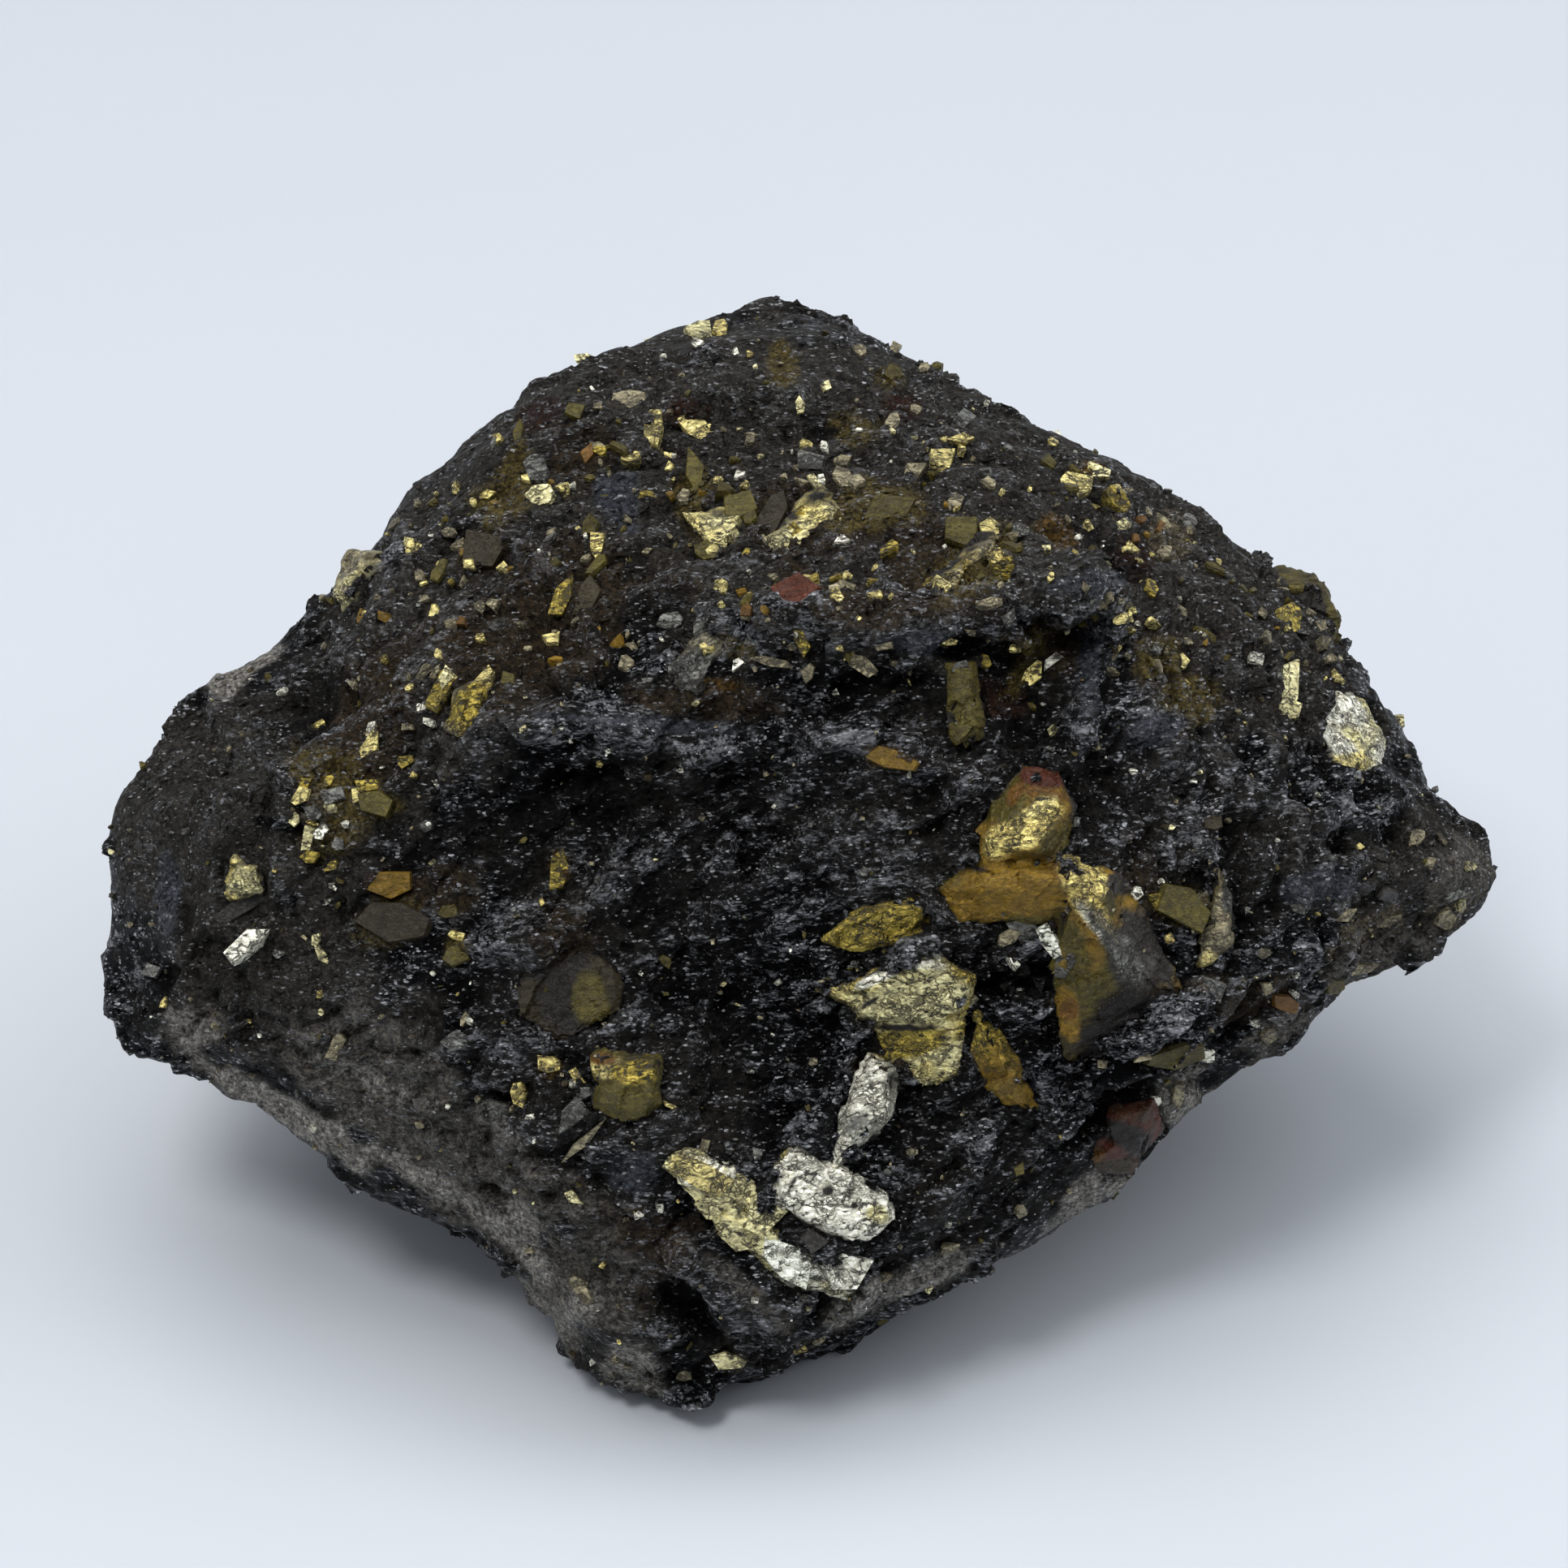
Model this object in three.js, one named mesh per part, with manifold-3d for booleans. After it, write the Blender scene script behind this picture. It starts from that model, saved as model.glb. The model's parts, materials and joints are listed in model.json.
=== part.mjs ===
// A rough hand specimen of pyrite: a broken lump of black, fine-grained host rock, about 57 mm wide,
// with brassy pyrite crystals grown in it. The rock is one solid with a small flat underside that it
// rests on. Each large crystal is a solid of its own, set in a socket in the rock.
// Millimetres, +Z up. The show face looks towards -Y and leans back.
import * as THREE from "three";
import { ConvexHull } from "three/addons/math/ConvexHull.js";
import { ConvexGeometry } from "three/addons/geometries/ConvexGeometry.js";
import { ImprovedNoise } from "three/addons/math/ImprovedNoise.js";
import { mergeVertices } from "three/addons/utils/BufferGeometryUtils.js";
import Module from "manifold-3d";

const wasm = await Module();
wasm.setup();

// Driving dimensions, in mm and degrees.
const SHOW_FACE_LEAN = 35; // the show face's outward direction is this far above level
const FACE_HEIGHT = 17.2; // height of the show face's reference point over the rest plane
const VIEW_DISTANCE = 268; // places on a side are given as they look from this far out
const VIEW_AIM = [-0.5, 3.1]; // and straight above this place on the side
const FACET_EDGE = 2.45; // longest edge of a small facet of the rock
const SOCKET_GAP = 0.3; // clearance between a crystal and its socket, and between crystals
const EDGE_WEAR = 0.25; // how far a corner is drawn towards its neighbours, as a share
const WEAR_ALLOWANCE = 0.2; // corners start this much further out, to make up for the wear
const LUMP_SIZE = 7; // across a lump
const LUMP_HEIGHT = 0.65;
const KNOB_SIZE = 3.6; // across a small knob or pit
const KNOB_HEIGHT = 0.4;
const LEDGE_PITCH = 3.1; // spacing of the parting layers that break into ledges
const LEDGE_HEIGHT = 0.6;
const LEDGE_SLOPE_SHARE = 0.78; // share of a layer that slopes up before it breaks off

// A side is a direction that the rock is looked at from, with places on it given as
// across (to the right), up and out (towards whoever looks), from the reference point.
function sideSeenFrom(azimuth, elevation) {
  const turn = THREE.MathUtils.degToRad(azimuth);
  const rise = THREE.MathUtils.degToRad(elevation);
  const right = new THREE.Vector3(Math.cos(turn), Math.sin(turn), 0);
  const out = new THREE.Vector3(
    Math.sin(turn) * Math.cos(rise), -Math.cos(turn) * Math.cos(rise), Math.sin(rise),
  );
  return { right, out, up: new THREE.Vector3().crossVectors(out, right) };
}

const SHOW = sideSeenFrom(0, SHOW_FACE_LEAN);
const BACK = sideSeenFrom(180, 15);
const LEFT = sideSeenFrom(-90, 30);
const RIGHT = sideSeenFrom(90, 20);

function place(side, across, up, out) {
  const spread = 1 - out / VIEW_DISTANCE;
  const [aimAcross, aimUp] = VIEW_AIM;
  return new THREE.Vector3(0, 0, FACE_HEIGHT)
    .addScaledVector(side.right, aimAcross + (across - aimAcross) * spread)
    .addScaledVector(side.up, aimUp + (up - aimUp) * spread)
    .addScaledVector(side.out, out);
}

// The rock's corners that show from the front, as [across, up, proud of the show face's plane].
const FRONT_CORNERS = [
  // the rim, from the left tip over the top to the right knob
  [-28.5, -6.6, 0], [-28.2, -2, -1], [-27.9, 2.3, -2], [-26.2, 5, -3], [-24, 7.6, -4],
  [-19.4, 10.2, -5], [-17.6, 12, -5.5], [-16, 14.9, -6], [-12.7, 18.2, -8], [-8.7, 21, -11],
  [-4.3, 22.6, -14], [-1, 23, -15], [1.4, 22.2, -15], [5, 20.4, -14], [9, 18.4, -13],
  [12.3, 16.8, -12], [15.3, 14.7, -11], [17.5, 13.4, -10], [21.1, 11.4, -10], [23.4, 8.2, -9],
  [24.4, 5.3, -8], [25.7, 2.7, -7], [27.8, 1.3, -6], [28.6, -0.7, -5], [28.1, -2.2, -4.5],
  // the rim, back under the right edge to the bottom corner and up to the left tip
  [26.1, -3.6, -4], [22.5, -5, -2], [20.2, -7.5, 0], [17, -9.3, 1.5], [15.6, -11.3, 2.5],
  [13.6, -13.6, 3], [9.6, -15.5, 4], [4, -17.7, 5], [0.7, -19.5, 5], [-2.7, -21.7, 3.8],
  [-4.8, -22.7, 3], [-7, -22, 2.5], [-9, -20.5, 2], [-11.4, -17, 2], [-14.7, -14.6, 2],
  [-18.5, -12.6, 1.5], [-21.7, -10, 1], [-24.5, -8.6, 0.5], [-26.3, -8.5, 0], [-27.8, -7.9, 0],
  // the hollow left end, inside its raised rim
  [-26.2, 2, 0.6], [-26.4, -4.5, 1.6], [-25.3, -6.2, 2.6], [-22.8, 3.7, 0], [-19.3, 7.7, -1.6],
  [-24.3, -2.3, 3.4], [-21.2, -1, 5], [-21, 3, 4.6], [-17.7, 5.4, 4], [-16.3, 11.2, -1],
  [-14, 14, -1],
  // the crest over the lower left face, down to the bottom corner block
  [-22.7, -4.3, 5], [-18.3, -5, 6.6], [-15.3, -6, 7.6], [-12.7, -8.7, 8], [-11, -11.3, 8.2],
  [-9.3, -14, 8.2], [-7, -15.7, 8.6], [-4.3, -16.7, 9], [-1.7, -18, 8.4], [0.7, -19, 6.6],
  // the lower left face and the hollow bottom corner block
  [-19.3, -9, 3.8], [-14.3, -12.2, 4.8], [-11.4, -14.6, 5.4], [-6, -18, 6], [-3.3, -18.4, 5.6],
  [-7.3, -19.8, 5.2], [-4.3, -21, 4.8],
  // the broad main face
  [-12, 2, 8.4], [-12.7, -3, 8.4], [-9.3, -5.7, 9.2], [-6, -1.3, 8.4], [-2.7, -6.3, 7.6],
  [-8, -8, 9.4], [-5.3, -10.7, 9.6], [-2.7, -12, 9], [0.7, -13, 9.5], [3.7, -15.2, 8.2],
  [7.3, -14, 7], [11.7, -11.3, 6], [2.3, -4.7, 9.2], [7.3, -4.7, 9.8], [5.7, -0.7, 9.2],
  [9.7, 2, 10], [11.7, -0.7, 10], [15.3, -6, 7.4], [17.3, -2.3, 7], [20.7, -1.3, 4.2],
  [24, -1.3, 1.2], [26.6, -0.7, -0.8], [22, -3.7, 1.6], [19, -5.7, 3.4], [0.7, 2, 9.2],
  [-2.7, 2.7, 8.6], [5.7, 5.3, 10],
  // the shelf crest across the middle, up to the fin
  [-11, 6.2, 9], [-6.3, 5.6, 9.6], [-3.3, 6.7, 9.8], [0.2, 9.6, 10], [4, 9.8, 10.5],
  [6.7, 9.4, 10.5], [9.2, 10.6, 10.4], [12, 11.8, 9], [11.9, 5.3, 9.8], [14, 8.7, 5.4],
  [15.7, 5.3, 6],
  // the notch under the shelf
  [8.3, 8.6, 8.4], [10.4, 9.4, 7.6],
  // the upper slope
  [-12.7, 8.7, 5], [-9.3, 12, 3.6], [-7.7, 16.7, -1.6], [-4.3, 12, 5.4], [-2.7, 16.7, -1],
  [0.7, 14, 3.6], [0.7, 18.7, -5], [5, 14, 3.2], [5.7, 12, 7], [9, 13.7, 3.4], [7.3, 16.7, -3],
  [11.7, 15.3, -3], [15.7, 11.3, -1], [19, 8.7, -1], [22, 5.3, -1.6], [17.3, 2.7, 5],
  [20.7, 2, 2.6], [-3.7, 20.3, -8], [2.3, 20.3, -9], [-10, 17.7, -3.6], [-12.7, 15.3, -2.4],
  [-4, 8.7, 7.8], [-8, 8.7, 7], [-1.3, 11.3, 7.4],
];

// The corners that the front hides, as [x, y, height over the rest plane].
const HIDDEN_CORNERS = [
  // the underside, a little below the rest plane, so that trimming it leaves the flat spot
  [-5, -13.4, -0.8], [1.4, -8.4, -0.8], [7.4, -2.6, -0.9], [9.6, 4, -1], [4, 12, -1], [-6, 11.6, -1],
  [-11, 4.6, -1], [-9.6, -5.6, -0.9], [-0.6, 1, -1.2],
  // the undercut flanks between the flat spot and the rim
  [10.6, -4.8, 3.2], [14.2, 2, 2.1], [13.4, 10.6, 2.2], [3.6, 17.6, 1.8], [-8.6, 16.4, 2.2],
  [-15.4, 6, 1.7], [-14.4, -5, 2.4], [17.8, 1, 6.8], [20.4, 6, 6.2], [20, 14, 8], [10, 21.8, 5.8],
  [-6, 22.4, 6.6], [-17.6, 14.2, 6.2], [-21.4, 3.6, 5.8], [-25.2, 0.6, 9.2],
  // the back
  [24.4, 11.6, 13], [16.4, 21, 14.4], [0, 28.4, 21.4], [8.4, 25.4, 19], [-8, 25.4, 20.2],
  [-15.4, 19.4, 17.4], [-21.6, 12, 14.6], [22, 15, 16], [1, 26, 11.6], [10.4, 23.8, 10.6],
  [-9.6, 23.4, 11.6], [-19.4, 13.6, 9.6], [-27, 5, 12.6], [26.4, 7.4, 10.4], [4.6, 27.4, 16.4],
  [-3.4, 26.4, 15], [-13, 20.6, 13.2], [13.4, 22.6, 17.6],
];

const HEART = new THREE.Vector3(0, 4, 14); // a point inside from which every corner can be seen

const corners = [
  ...FRONT_CORNERS.map((corner) => place(SHOW, ...corner)),
  ...HIDDEN_CORNERS.map((corner) => new THREE.Vector3(...corner)),
];

// Triangles between neighbouring corners, found from the directions in which the heart sees them.
function spanCorners(points) {
  const seen = new Map();
  for (const point of points) {
    const direction = point.clone().sub(HEART).normalize();
    seen.set(direction, point.clone().addScaledVector(direction, WEAR_ALLOWANCE));
  }
  const hull = new ConvexHull().setFromPoints([...seen.keys()]);
  return hull.faces.map(({ edge }) =>
    [edge.tail(), edge.head(), edge.next.head()].map((vertex) => seen.get(vertex.point)));
}

function midpoint(a, b) {
  return a.clone().add(b).multiplyScalar(0.5);
}

// One triangle, with each edge over the limit halved. Neighbours halve a shared edge alike.
function splitTriangle([a, b, c], limit) {
  const isLong = [a.distanceTo(b), b.distanceTo(c), c.distanceTo(a)].map((d) => d > limit);
  const count = isLong.filter(Boolean).length;
  if (count === 0) return [[a, b, c]];
  const ready = isLong[0] && (count !== 2 || isLong[1]);
  if (!ready) return splitTriangle([b, c, a], limit);
  const ab = midpoint(a, b);
  if (count === 1) return [[a, ab, c], [ab, b, c]];
  const bc = midpoint(b, c);
  if (count === 2) return [[a, ab, c], [ab, bc, c], [ab, b, bc]];
  const ca = midpoint(c, a);
  return [[a, ab, ca], [ab, b, bc], [bc, c, ca], [ab, bc, ca]];
}

function splitToLimit(triangles, limit) {
  const halved = triangles.flatMap((triangle) => splitTriangle(triangle, limit));
  return halved.length === triangles.length ? halved : splitToLimit(halved, limit);
}

function geometryOf(triangles) {
  const positions = triangles.flat().flatMap((p) => [p.x, p.y, p.z]);
  const geometry = new THREE.BufferGeometry();
  geometry.setAttribute("position", new THREE.Float32BufferAttribute(positions, 3));
  return mergeVertices(geometry, 1e-3);
}

// Draws every vertex towards the middle of its neighbours, which blunts corners and edges.
function wearEdges(geometry, share) {
  const position = geometry.getAttribute("position");
  const index = geometry.getIndex();
  const sums = Array.from({ length: position.count }, () => new THREE.Vector3());
  const counts = new Array(position.count).fill(0);
  for (let i = 0; i < index.count; i++) {
    const here = index.getX(i);
    const next = index.getX(i % 3 === 2 ? i - 2 : i + 1);
    sums[here].add(new THREE.Vector3().fromBufferAttribute(position, next));
    counts[here] += 1;
  }
  sums.forEach((sum, i) => {
    const here = new THREE.Vector3().fromBufferAttribute(position, i);
    here.lerp(sum.divideScalar(counts[i]), share);
    position.setXYZ(i, here.x, here.y, here.z);
  });
}

const noise = new ImprovedNoise();
const LAYER_DIRECTION = new THREE.Vector3(-0.35, -0.45, 0.82).normalize();

function noiseAt(point, size, shift) {
  return noise.noise(point.x / size + shift, point.y / size + shift, point.z / size - shift);
}

// How far the broken surface stands off its smooth form at a point: lumps, knobs and ledges.
function reliefAt(point) {
  const lumps = LUMP_HEIGHT * noiseAt(point, LUMP_SIZE, 11.3);
  const knobs = KNOB_HEIGHT * noiseAt(point, KNOB_SIZE, 4.7);
  const layer = point.dot(LAYER_DIRECTION) / LEDGE_PITCH + noiseAt(point, 9, 2.1);
  const along = layer - Math.floor(layer);
  const rising = along / LEDGE_SLOPE_SHARE;
  const breaking = (1 - along) / (1 - LEDGE_SLOPE_SHARE);
  const ledges = LEDGE_HEIGHT * (Math.min(rising, breaking) - 0.5);
  return lumps + knobs + ledges;
}

function roughen(geometry) {
  geometry.computeVertexNormals();
  const position = geometry.getAttribute("position");
  const normal = geometry.getAttribute("normal");
  for (let i = 0; i < position.count; i++) {
    const here = new THREE.Vector3().fromBufferAttribute(position, i);
    const outward = new THREE.Vector3().fromBufferAttribute(normal, i);
    here.addScaledVector(outward, reliefAt(here));
    position.setXYZ(i, here.x, here.y, here.z);
  }
}

function solidOf(geometry) {
  const bare = new THREE.BufferGeometry().setAttribute("position", geometry.getAttribute("position"));
  if (geometry.getIndex()) bare.setIndex(geometry.getIndex());
  const merged = mergeVertices(bare, 1e-4);
  return new wasm.Manifold(new wasm.Mesh({
    numProp: 3,
    vertProperties: new Float32Array(merged.getAttribute("position").array),
    triVerts: new Uint32Array(merged.getIndex().array),
  }));
}

function geometryFrom(solid) {
  const { vertProperties, triVerts } = solid.getMesh();
  const geometry = new THREE.BufferGeometry();
  geometry.setAttribute("position", new THREE.BufferAttribute(vertProperties, 3));
  geometry.setIndex(new THREE.BufferAttribute(triVerts, 1));
  return geometry;
}

// The whole rock before its sockets are cut, trimmed flat at the rest plane.
function makeLump() {
  const geometry = geometryOf(splitToLimit(spanCorners(corners), FACET_EDGE));
  wearEdges(geometry, EDGE_WEAR);
  roughen(geometry);
  const BELOW = 20;
  const ground = new THREE.BoxGeometry(200, 200, BELOW).translate(0, 0, -BELOW / 2);
  return solidOf(geometry).subtract(solidOf(ground));
}

const lump = makeLump();
const lumpMesh = new THREE.Mesh(
  geometryFrom(lump), new THREE.MeshBasicMaterial({ side: THREE.DoubleSide }),
);

// How far out the rock's surface is at a place on a side.
function surfaceAt(side, across, up) {
  const eye = place(side, ...VIEW_AIM, VIEW_DISTANCE);
  const target = place(side, across, up, 0);
  const ray = new THREE.Raycaster(eye, target.clone().sub(eye).normalize());
  const hit = ray.intersectObject(lumpMesh)[0];
  if (!hit) throw new Error(`no rock at ${across}, ${up}`);
  return VIEW_DISTANCE * (1 - hit.distance / target.distanceTo(eye));
}

// The plane that lies best along the rock at some places on a side, as a function of the place.
function planeAlong(side, places) {
  const heights = places.map(([across, up]) => surfaceAt(side, across, up));
  const mean = (values) => values.reduce((sum, v) => sum + v, 0) / values.length;
  const [a0, u0, h0] = [mean(places.map((p) => p[0])), mean(places.map((p) => p[1])), mean(heights)];
  const spread = (f) => mean(places.map((p, i) => f(p[0] - a0, p[1] - u0, heights[i] - h0)));
  const [aa, au, uu] = [spread((a) => a * a), spread((a, u) => a * u), spread((a, u) => u * u)];
  const [ah, uh] = [spread((a, u, h) => a * h), spread((a, u, h) => u * h)];
  const det = aa * uu - au * au;
  const slopeAcross = (ah * uu - uh * au) / det;
  const slopeUp = (uh * aa - ah * au) / det;
  return (across, up) => h0 + slopeAcross * (across - a0) + slopeUp * (up - u0);
}

// One crystal block: its faces span the crest, which stands proud of the rock by the third number of
// each point, the rim, where it leaves the rock, and a root that narrows inside the rock.
const ROOT_SHARE = 0.72; // size of the root against the rim
const RIM_LIFT = 0.12; // the rim stands this far out of the rock

function blockCorners({ side = SHOW, rim, crest, root }) {
  const plane = planeAlong(side, rim);
  const centre = [0, 1].map((k) => rim.reduce((sum, p) => sum + p[k], 0) / rim.length);
  const at = ([across, up], lift) => place(side, across, up, plane(across, up) + lift);
  const drawnIn = (p) => centre.map((c, k) => c + (p[k] - c) * ROOT_SHARE);
  return [
    ...crest.map((p) => at(p, p[2])),
    ...rim.map((p) => at(p, RIM_LIFT)),
    ...rim.map((p) => at(drawnIn(p), -root)),
  ];
}

// The same block grown by the gap on every side.
function grown(points) {
  const signs = [-SOCKET_GAP, SOCKET_GAP];
  return points.flatMap((p) => signs.flatMap((dx) => signs.flatMap((dy) =>
    signs.map((dz) => new THREE.Vector3(p.x + dx, p.y + dy, p.z + dz)))));
}

function hullOf(points) {
  return solidOf(new ConvexGeometry(points));
}

function joined(solids) {
  return solids.reduce((whole, solid) => whole.add(solid));
}

// The crystals. Each is one or more intergrown blocks.
const CRYSTALS = {
  wedge_cluster: [
    { rim: [[9.3, 3.6], [10.8, 3.4], [11.5, 2], [10.9, -0.2], [7.7, -0.4], [7.5, 1]],
      crest: [[9.8, 2.9, 1], [10.7, 1.9, 1.3], [9.9, 0.4, 1.5], [8.3, 0.5, 1.1]], root: 2 },
    { rim: [[6, -1.2], [7.3, -0.2], [9.4, 0.2], [12.2, -0.6], [12, -2.2], [9.3, -2.7], [7, -2.4]],
      crest: [[7.4, -1.2, 0.9], [9.5, -0.6, 1.3], [11.4, -1, 1.6], [9.4, -2, 0.8]], root: 2 },
    { rim: [[10.7, 0.2], [13.3, -0.6], [15.8, -5.7], [14, -7], [12.1, -7.8], [10.9, -7.8], [10.5, -5.2]],
      crest: [[11.3, -0.6, 1.6], [12.4, -3, 2.2], [13.7, -5.6, 1.6], [11.7, -6.6, 0.5]], root: 2.4 },
  ],
  scale_blade: [
    { rim: [[1.1, -3.3], [2.7, -2], [5, -1.5], [5.5, -2.4], [4.6, -3.4], [2, -3.7]],
      crest: [[1.9, -3, 0.4], [2.9, -2.3, 0.7], [4.8, -1.9, 0.8], [4.9, -2.5, 0.7], [2.4, -3.3, 0.5]],
      root: 1.4 },
  ],
  pale_rhomb: [
    { rim: [[1, -5.4], [3.7, -4.4], [5.7, -4], [7.3, -4.9], [7, -6.3], [5, -7.1], [2.7, -6.5]],
      crest: [[1.5, -5.4, 0.7], [3.8, -4.8, 1.1], [5.6, -4.4, 1.2], [6.9, -5, 1.2], [6.5, -6.1, 1],
        [4.9, -6.5, 0.9], [3, -6.1, 0.8]], root: 1.8 },
    { rim: [[2.9, -6.2], [6.9, -6.2], [6.5, -8.7], [5.4, -9.2], [3.8, -8]],
      crest: [[4.6, -6.9, 0.5], [6.3, -7, 0.5], [5.6, -8.6, 0.5]], root: 1.6 },
  ],
  silver_blade: [
    { rim: [[2.9, -7.9], [4.2, -8.5], [3.9, -10.6], [1.6, -12.7], [1.9, -10.3]],
      crest: [[3.1, -8.5, 0.9], [3.7, -8.9, 1.1], [3.4, -10.5, 1.2], [2, -12, 0.7], [2.3, -10.3, 0.8]],
      root: 1.6 },
  ],
  olive_tooth: [
    { rim: [[7.5, -6.3], [8.4, -7], [9.9, -10.2], [8.4, -9.9], [7.2, -8]],
      crest: [[7.7, -6.9, 0.9], [8.3, -8.3, 1.2], [9.2, -9.8, 0.6]], root: 1.6 },
  ],
  silver_plate: [
    { rim: [[-1, -12.6], [-0.2, -11.8], [2, -12.7], [3.8, -13.6], [4, -14.7], [2.8, -15.6], [0.9, -15.2],
        [-0.8, -14]],
      crest: [[-0.7, -12.7, 0.5], [0, -12.2, 0.6], [2, -13, 0.7], [3.5, -13.8, 0.7], [3.6, -14.6, 0.6],
        [2.7, -15.2, 0.5], [1, -14.9, 0.5], [-0.5, -13.8, 0.5]], root: 1.6 },
  ],
  gold_band: [
    { rim: [[-5.4, -12.6], [-4.4, -12], [-2.6, -12.6], [-1.9, -14.6], [-2.8, -15.6]],
      crest: [[-4.9, -12.7, 0.5], [-4.3, -12.4, 0.6], [-2.9, -12.9, 0.7], [-2.4, -14.4, 0.6],
        [-2.9, -15.1, 0.4]], root: 1.6 },
    { rim: [[-3.4, -14.9], [-2, -14.4], [0.6, -16.2], [2.6, -16.9], [1.9, -17.8], [-0.7, -17.3]],
      crest: [[-2.8, -15, 0.4], [-1.9, -14.9, 0.6], [0.5, -16.5, 0.7], [2.1, -17, 0.6], [1.6, -17.5, 0.4],
        [-0.6, -16.9, 0.4]], root: 1.6 },
  ],
  green_block: [
    { rim: [[-8.3, -7.9], [-5.6, -8], [-5.6, -10], [-6.7, -10.8], [-8.3, -10.2]],
      crest: [[-7.9, -8.3, 0.8], [-6, -8.4, 1], [-6, -9.8, 0.9], [-6.8, -10.3, 0.6], [-7.9, -9.9, 0.6]],
      root: 1.8 },
  ],
  brown_tablet: [
    { rim: [[-11, -4.7], [-8.7, -3.9], [-7.2, -4.7], [-7.4, -6.3], [-9.7, -7.4], [-11.2, -6.3]],
      crest: [[-10.4, -4.9, 0.3], [-8.7, -4.3, 0.5], [-7.6, -4.9, 0.5], [-7.8, -6.1, 0.4],
        [-9.6, -7, 0.3], [-10.6, -6.1, 0.3]], root: 1.8 },
  ],
  left_rhomb: [
    { rim: [[-23.6, -0.9], [-23, 0], [-22.1, -0.2], [-22, -1.3], [-23.2, -1.5]],
      crest: [[-23.2, -0.8, 0.6], [-22.8, -0.3, 0.8], [-22.3, -0.5, 0.9], [-22.3, -1.1, 0.7]], root: 1.2 },
  ],
  grey_prism: [
    { rim: [[-5.3, 7.7], [-3.8, 9.8], [-2.6, 9.2], [-2.7, 8.5], [-4, 6.8], [-4.8, 6.9]],
      crest: [[-4.9, 7.9, 0.9], [-3.7, 9.5, 1.1], [-2.9, 9.1, 1.2], [-3, 8.6, 1.2], [-4.1, 7.1, 1]],
      root: 1.6 },
  ],
  right_blade: [
    { rim: [[17.3, -0.4], [18, -1.6], [17.9, -3.6], [16.4, -4.6], [16.8, -2.7]],
      crest: [[17.4, -1, 1], [17.6, -2, 1.3], [17.4, -3.4, 1.1], [16.8, -4, 0.6]], root: 1.5 },
  ],
  right_plate: [
    { rim: [[21.4, 5.4], [22.3, 6.9], [23.5, 6.4], [24.3, 4.9], [24.1, 3.7], [22.3, 3.6], [21.8, 4.5]],
      crest: [[21.8, 5.4, 0.4], [22.4, 6.5, 0.6], [23.3, 6.1, 0.7], [23.9, 4.9, 0.6], [23.7, 4, 0.5],
        [22.4, 3.9, 0.4]], root: 1.5 },
  ],
  olive_bar: [
    { rim: [[6.2, 8], [7.3, 8], [7.8, 5.1], [6.9, 4.5], [6.3, 5.3]],
      crest: [[6.5, 7.6, 0.5], [7.1, 7.6, 0.7], [7.4, 5.3, 0.7], [6.8, 4.9, 0.5]], root: 1.4 },
  ],
  upper_bar: [
    { rim: [[5.2, 11.3], [6, 10.8], [7.9, 12.3], [8.4, 13.3], [7.5, 13.2]],
      crest: [[5.6, 11.3, 0.8], [6, 11.1, 0.9], [7.7, 12.5, 1], [8, 13, 0.9], [7.5, 12.9, 0.8]],
      root: 1.4 },
  ],
  upper_chip: [
    { rim: [[-1.3, 13.1], [0.1, 14.6], [1, 15.2], [1.8, 14.4], [0.8, 13.2], [-0.7, 12.7]],
      crest: [[-0.9, 13.1, 0.5], [0.2, 14.2, 0.7], [0.9, 14.8, 0.8], [1.4, 14.4, 0.8], [0.6, 13.4, 0.6]],
      root: 1.5 },
  ],
  upper_left_chip: [
    { rim: [[-4.6, 14.2], [-3.3, 14.1], [-2, 14.4], [-2.5, 13], [-3.5, 12.5]],
      crest: [[-4.1, 14, 0.5], [-3.3, 13.8, 0.8], [-2.5, 14, 0.8], [-2.8, 13.2, 0.6], [-3.4, 12.9, 0.5]],
      root: 1.4 },
  ],
  shoulder_shard: [
    { rim: [[-14.4, 5.4], [-14, 7], [-12.7, 7.3], [-12.6, 5.9], [-13.7, 5]],
      crest: [[-14, 5.6, 0.5], [-13.7, 6.7, 0.8], [-13, 6.9, 0.9], [-13, 6.1, 0.7]], root: 1.3 },
  ],
  rim_lump: [
    { rim: [[12.2, -11.6], [13, -10.2], [14.6, -9.9], [15, -11.1], [13.7, -12.7], [12.4, -12.8]],
      crest: [[12.8, -11.4, 0.8], [13.4, -10.6, 1.1], [14.3, -10.5, 1.2], [14.3, -11.1, 1],
        [13.4, -12.2, 0.8]], root: 1.5 },
  ],
  back_cube: [
    { side: BACK, rim: [[-6.5, -3.5], [-3.4, -1.6], [-0.6, -4.1], [-1.6, -7.2], [-5.1, -7.6]],
      crest: [[-5.4, -3.8, 1.5], [-3.3, -2.7, 1.9], [-1.6, -4.4, 2], [-2.2, -6.2, 1.7],
        [-4.5, -6.4, 1.3]], root: 2.2 },
  ],
  back_blade: [
    { side: BACK, rim: [[6.4, -4.9], [7.5, 0.4], [9, 1.9], [9.8, 0.1], [8.3, -5.2]],
      crest: [[7.2, -4.2, 0.8], [8, 0.1, 1.5], [8.9, 0.8, 1.6], [8.7, -2.7, 1.3]], root: 1.8 },
  ],
  left_end_chip: [
    { side: LEFT, rim: [[-12.3, -3.2], [-10.5, -1.2], [-8.6, -1.9], [-9, -4.1], [-11.3, -4.5]],
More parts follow.
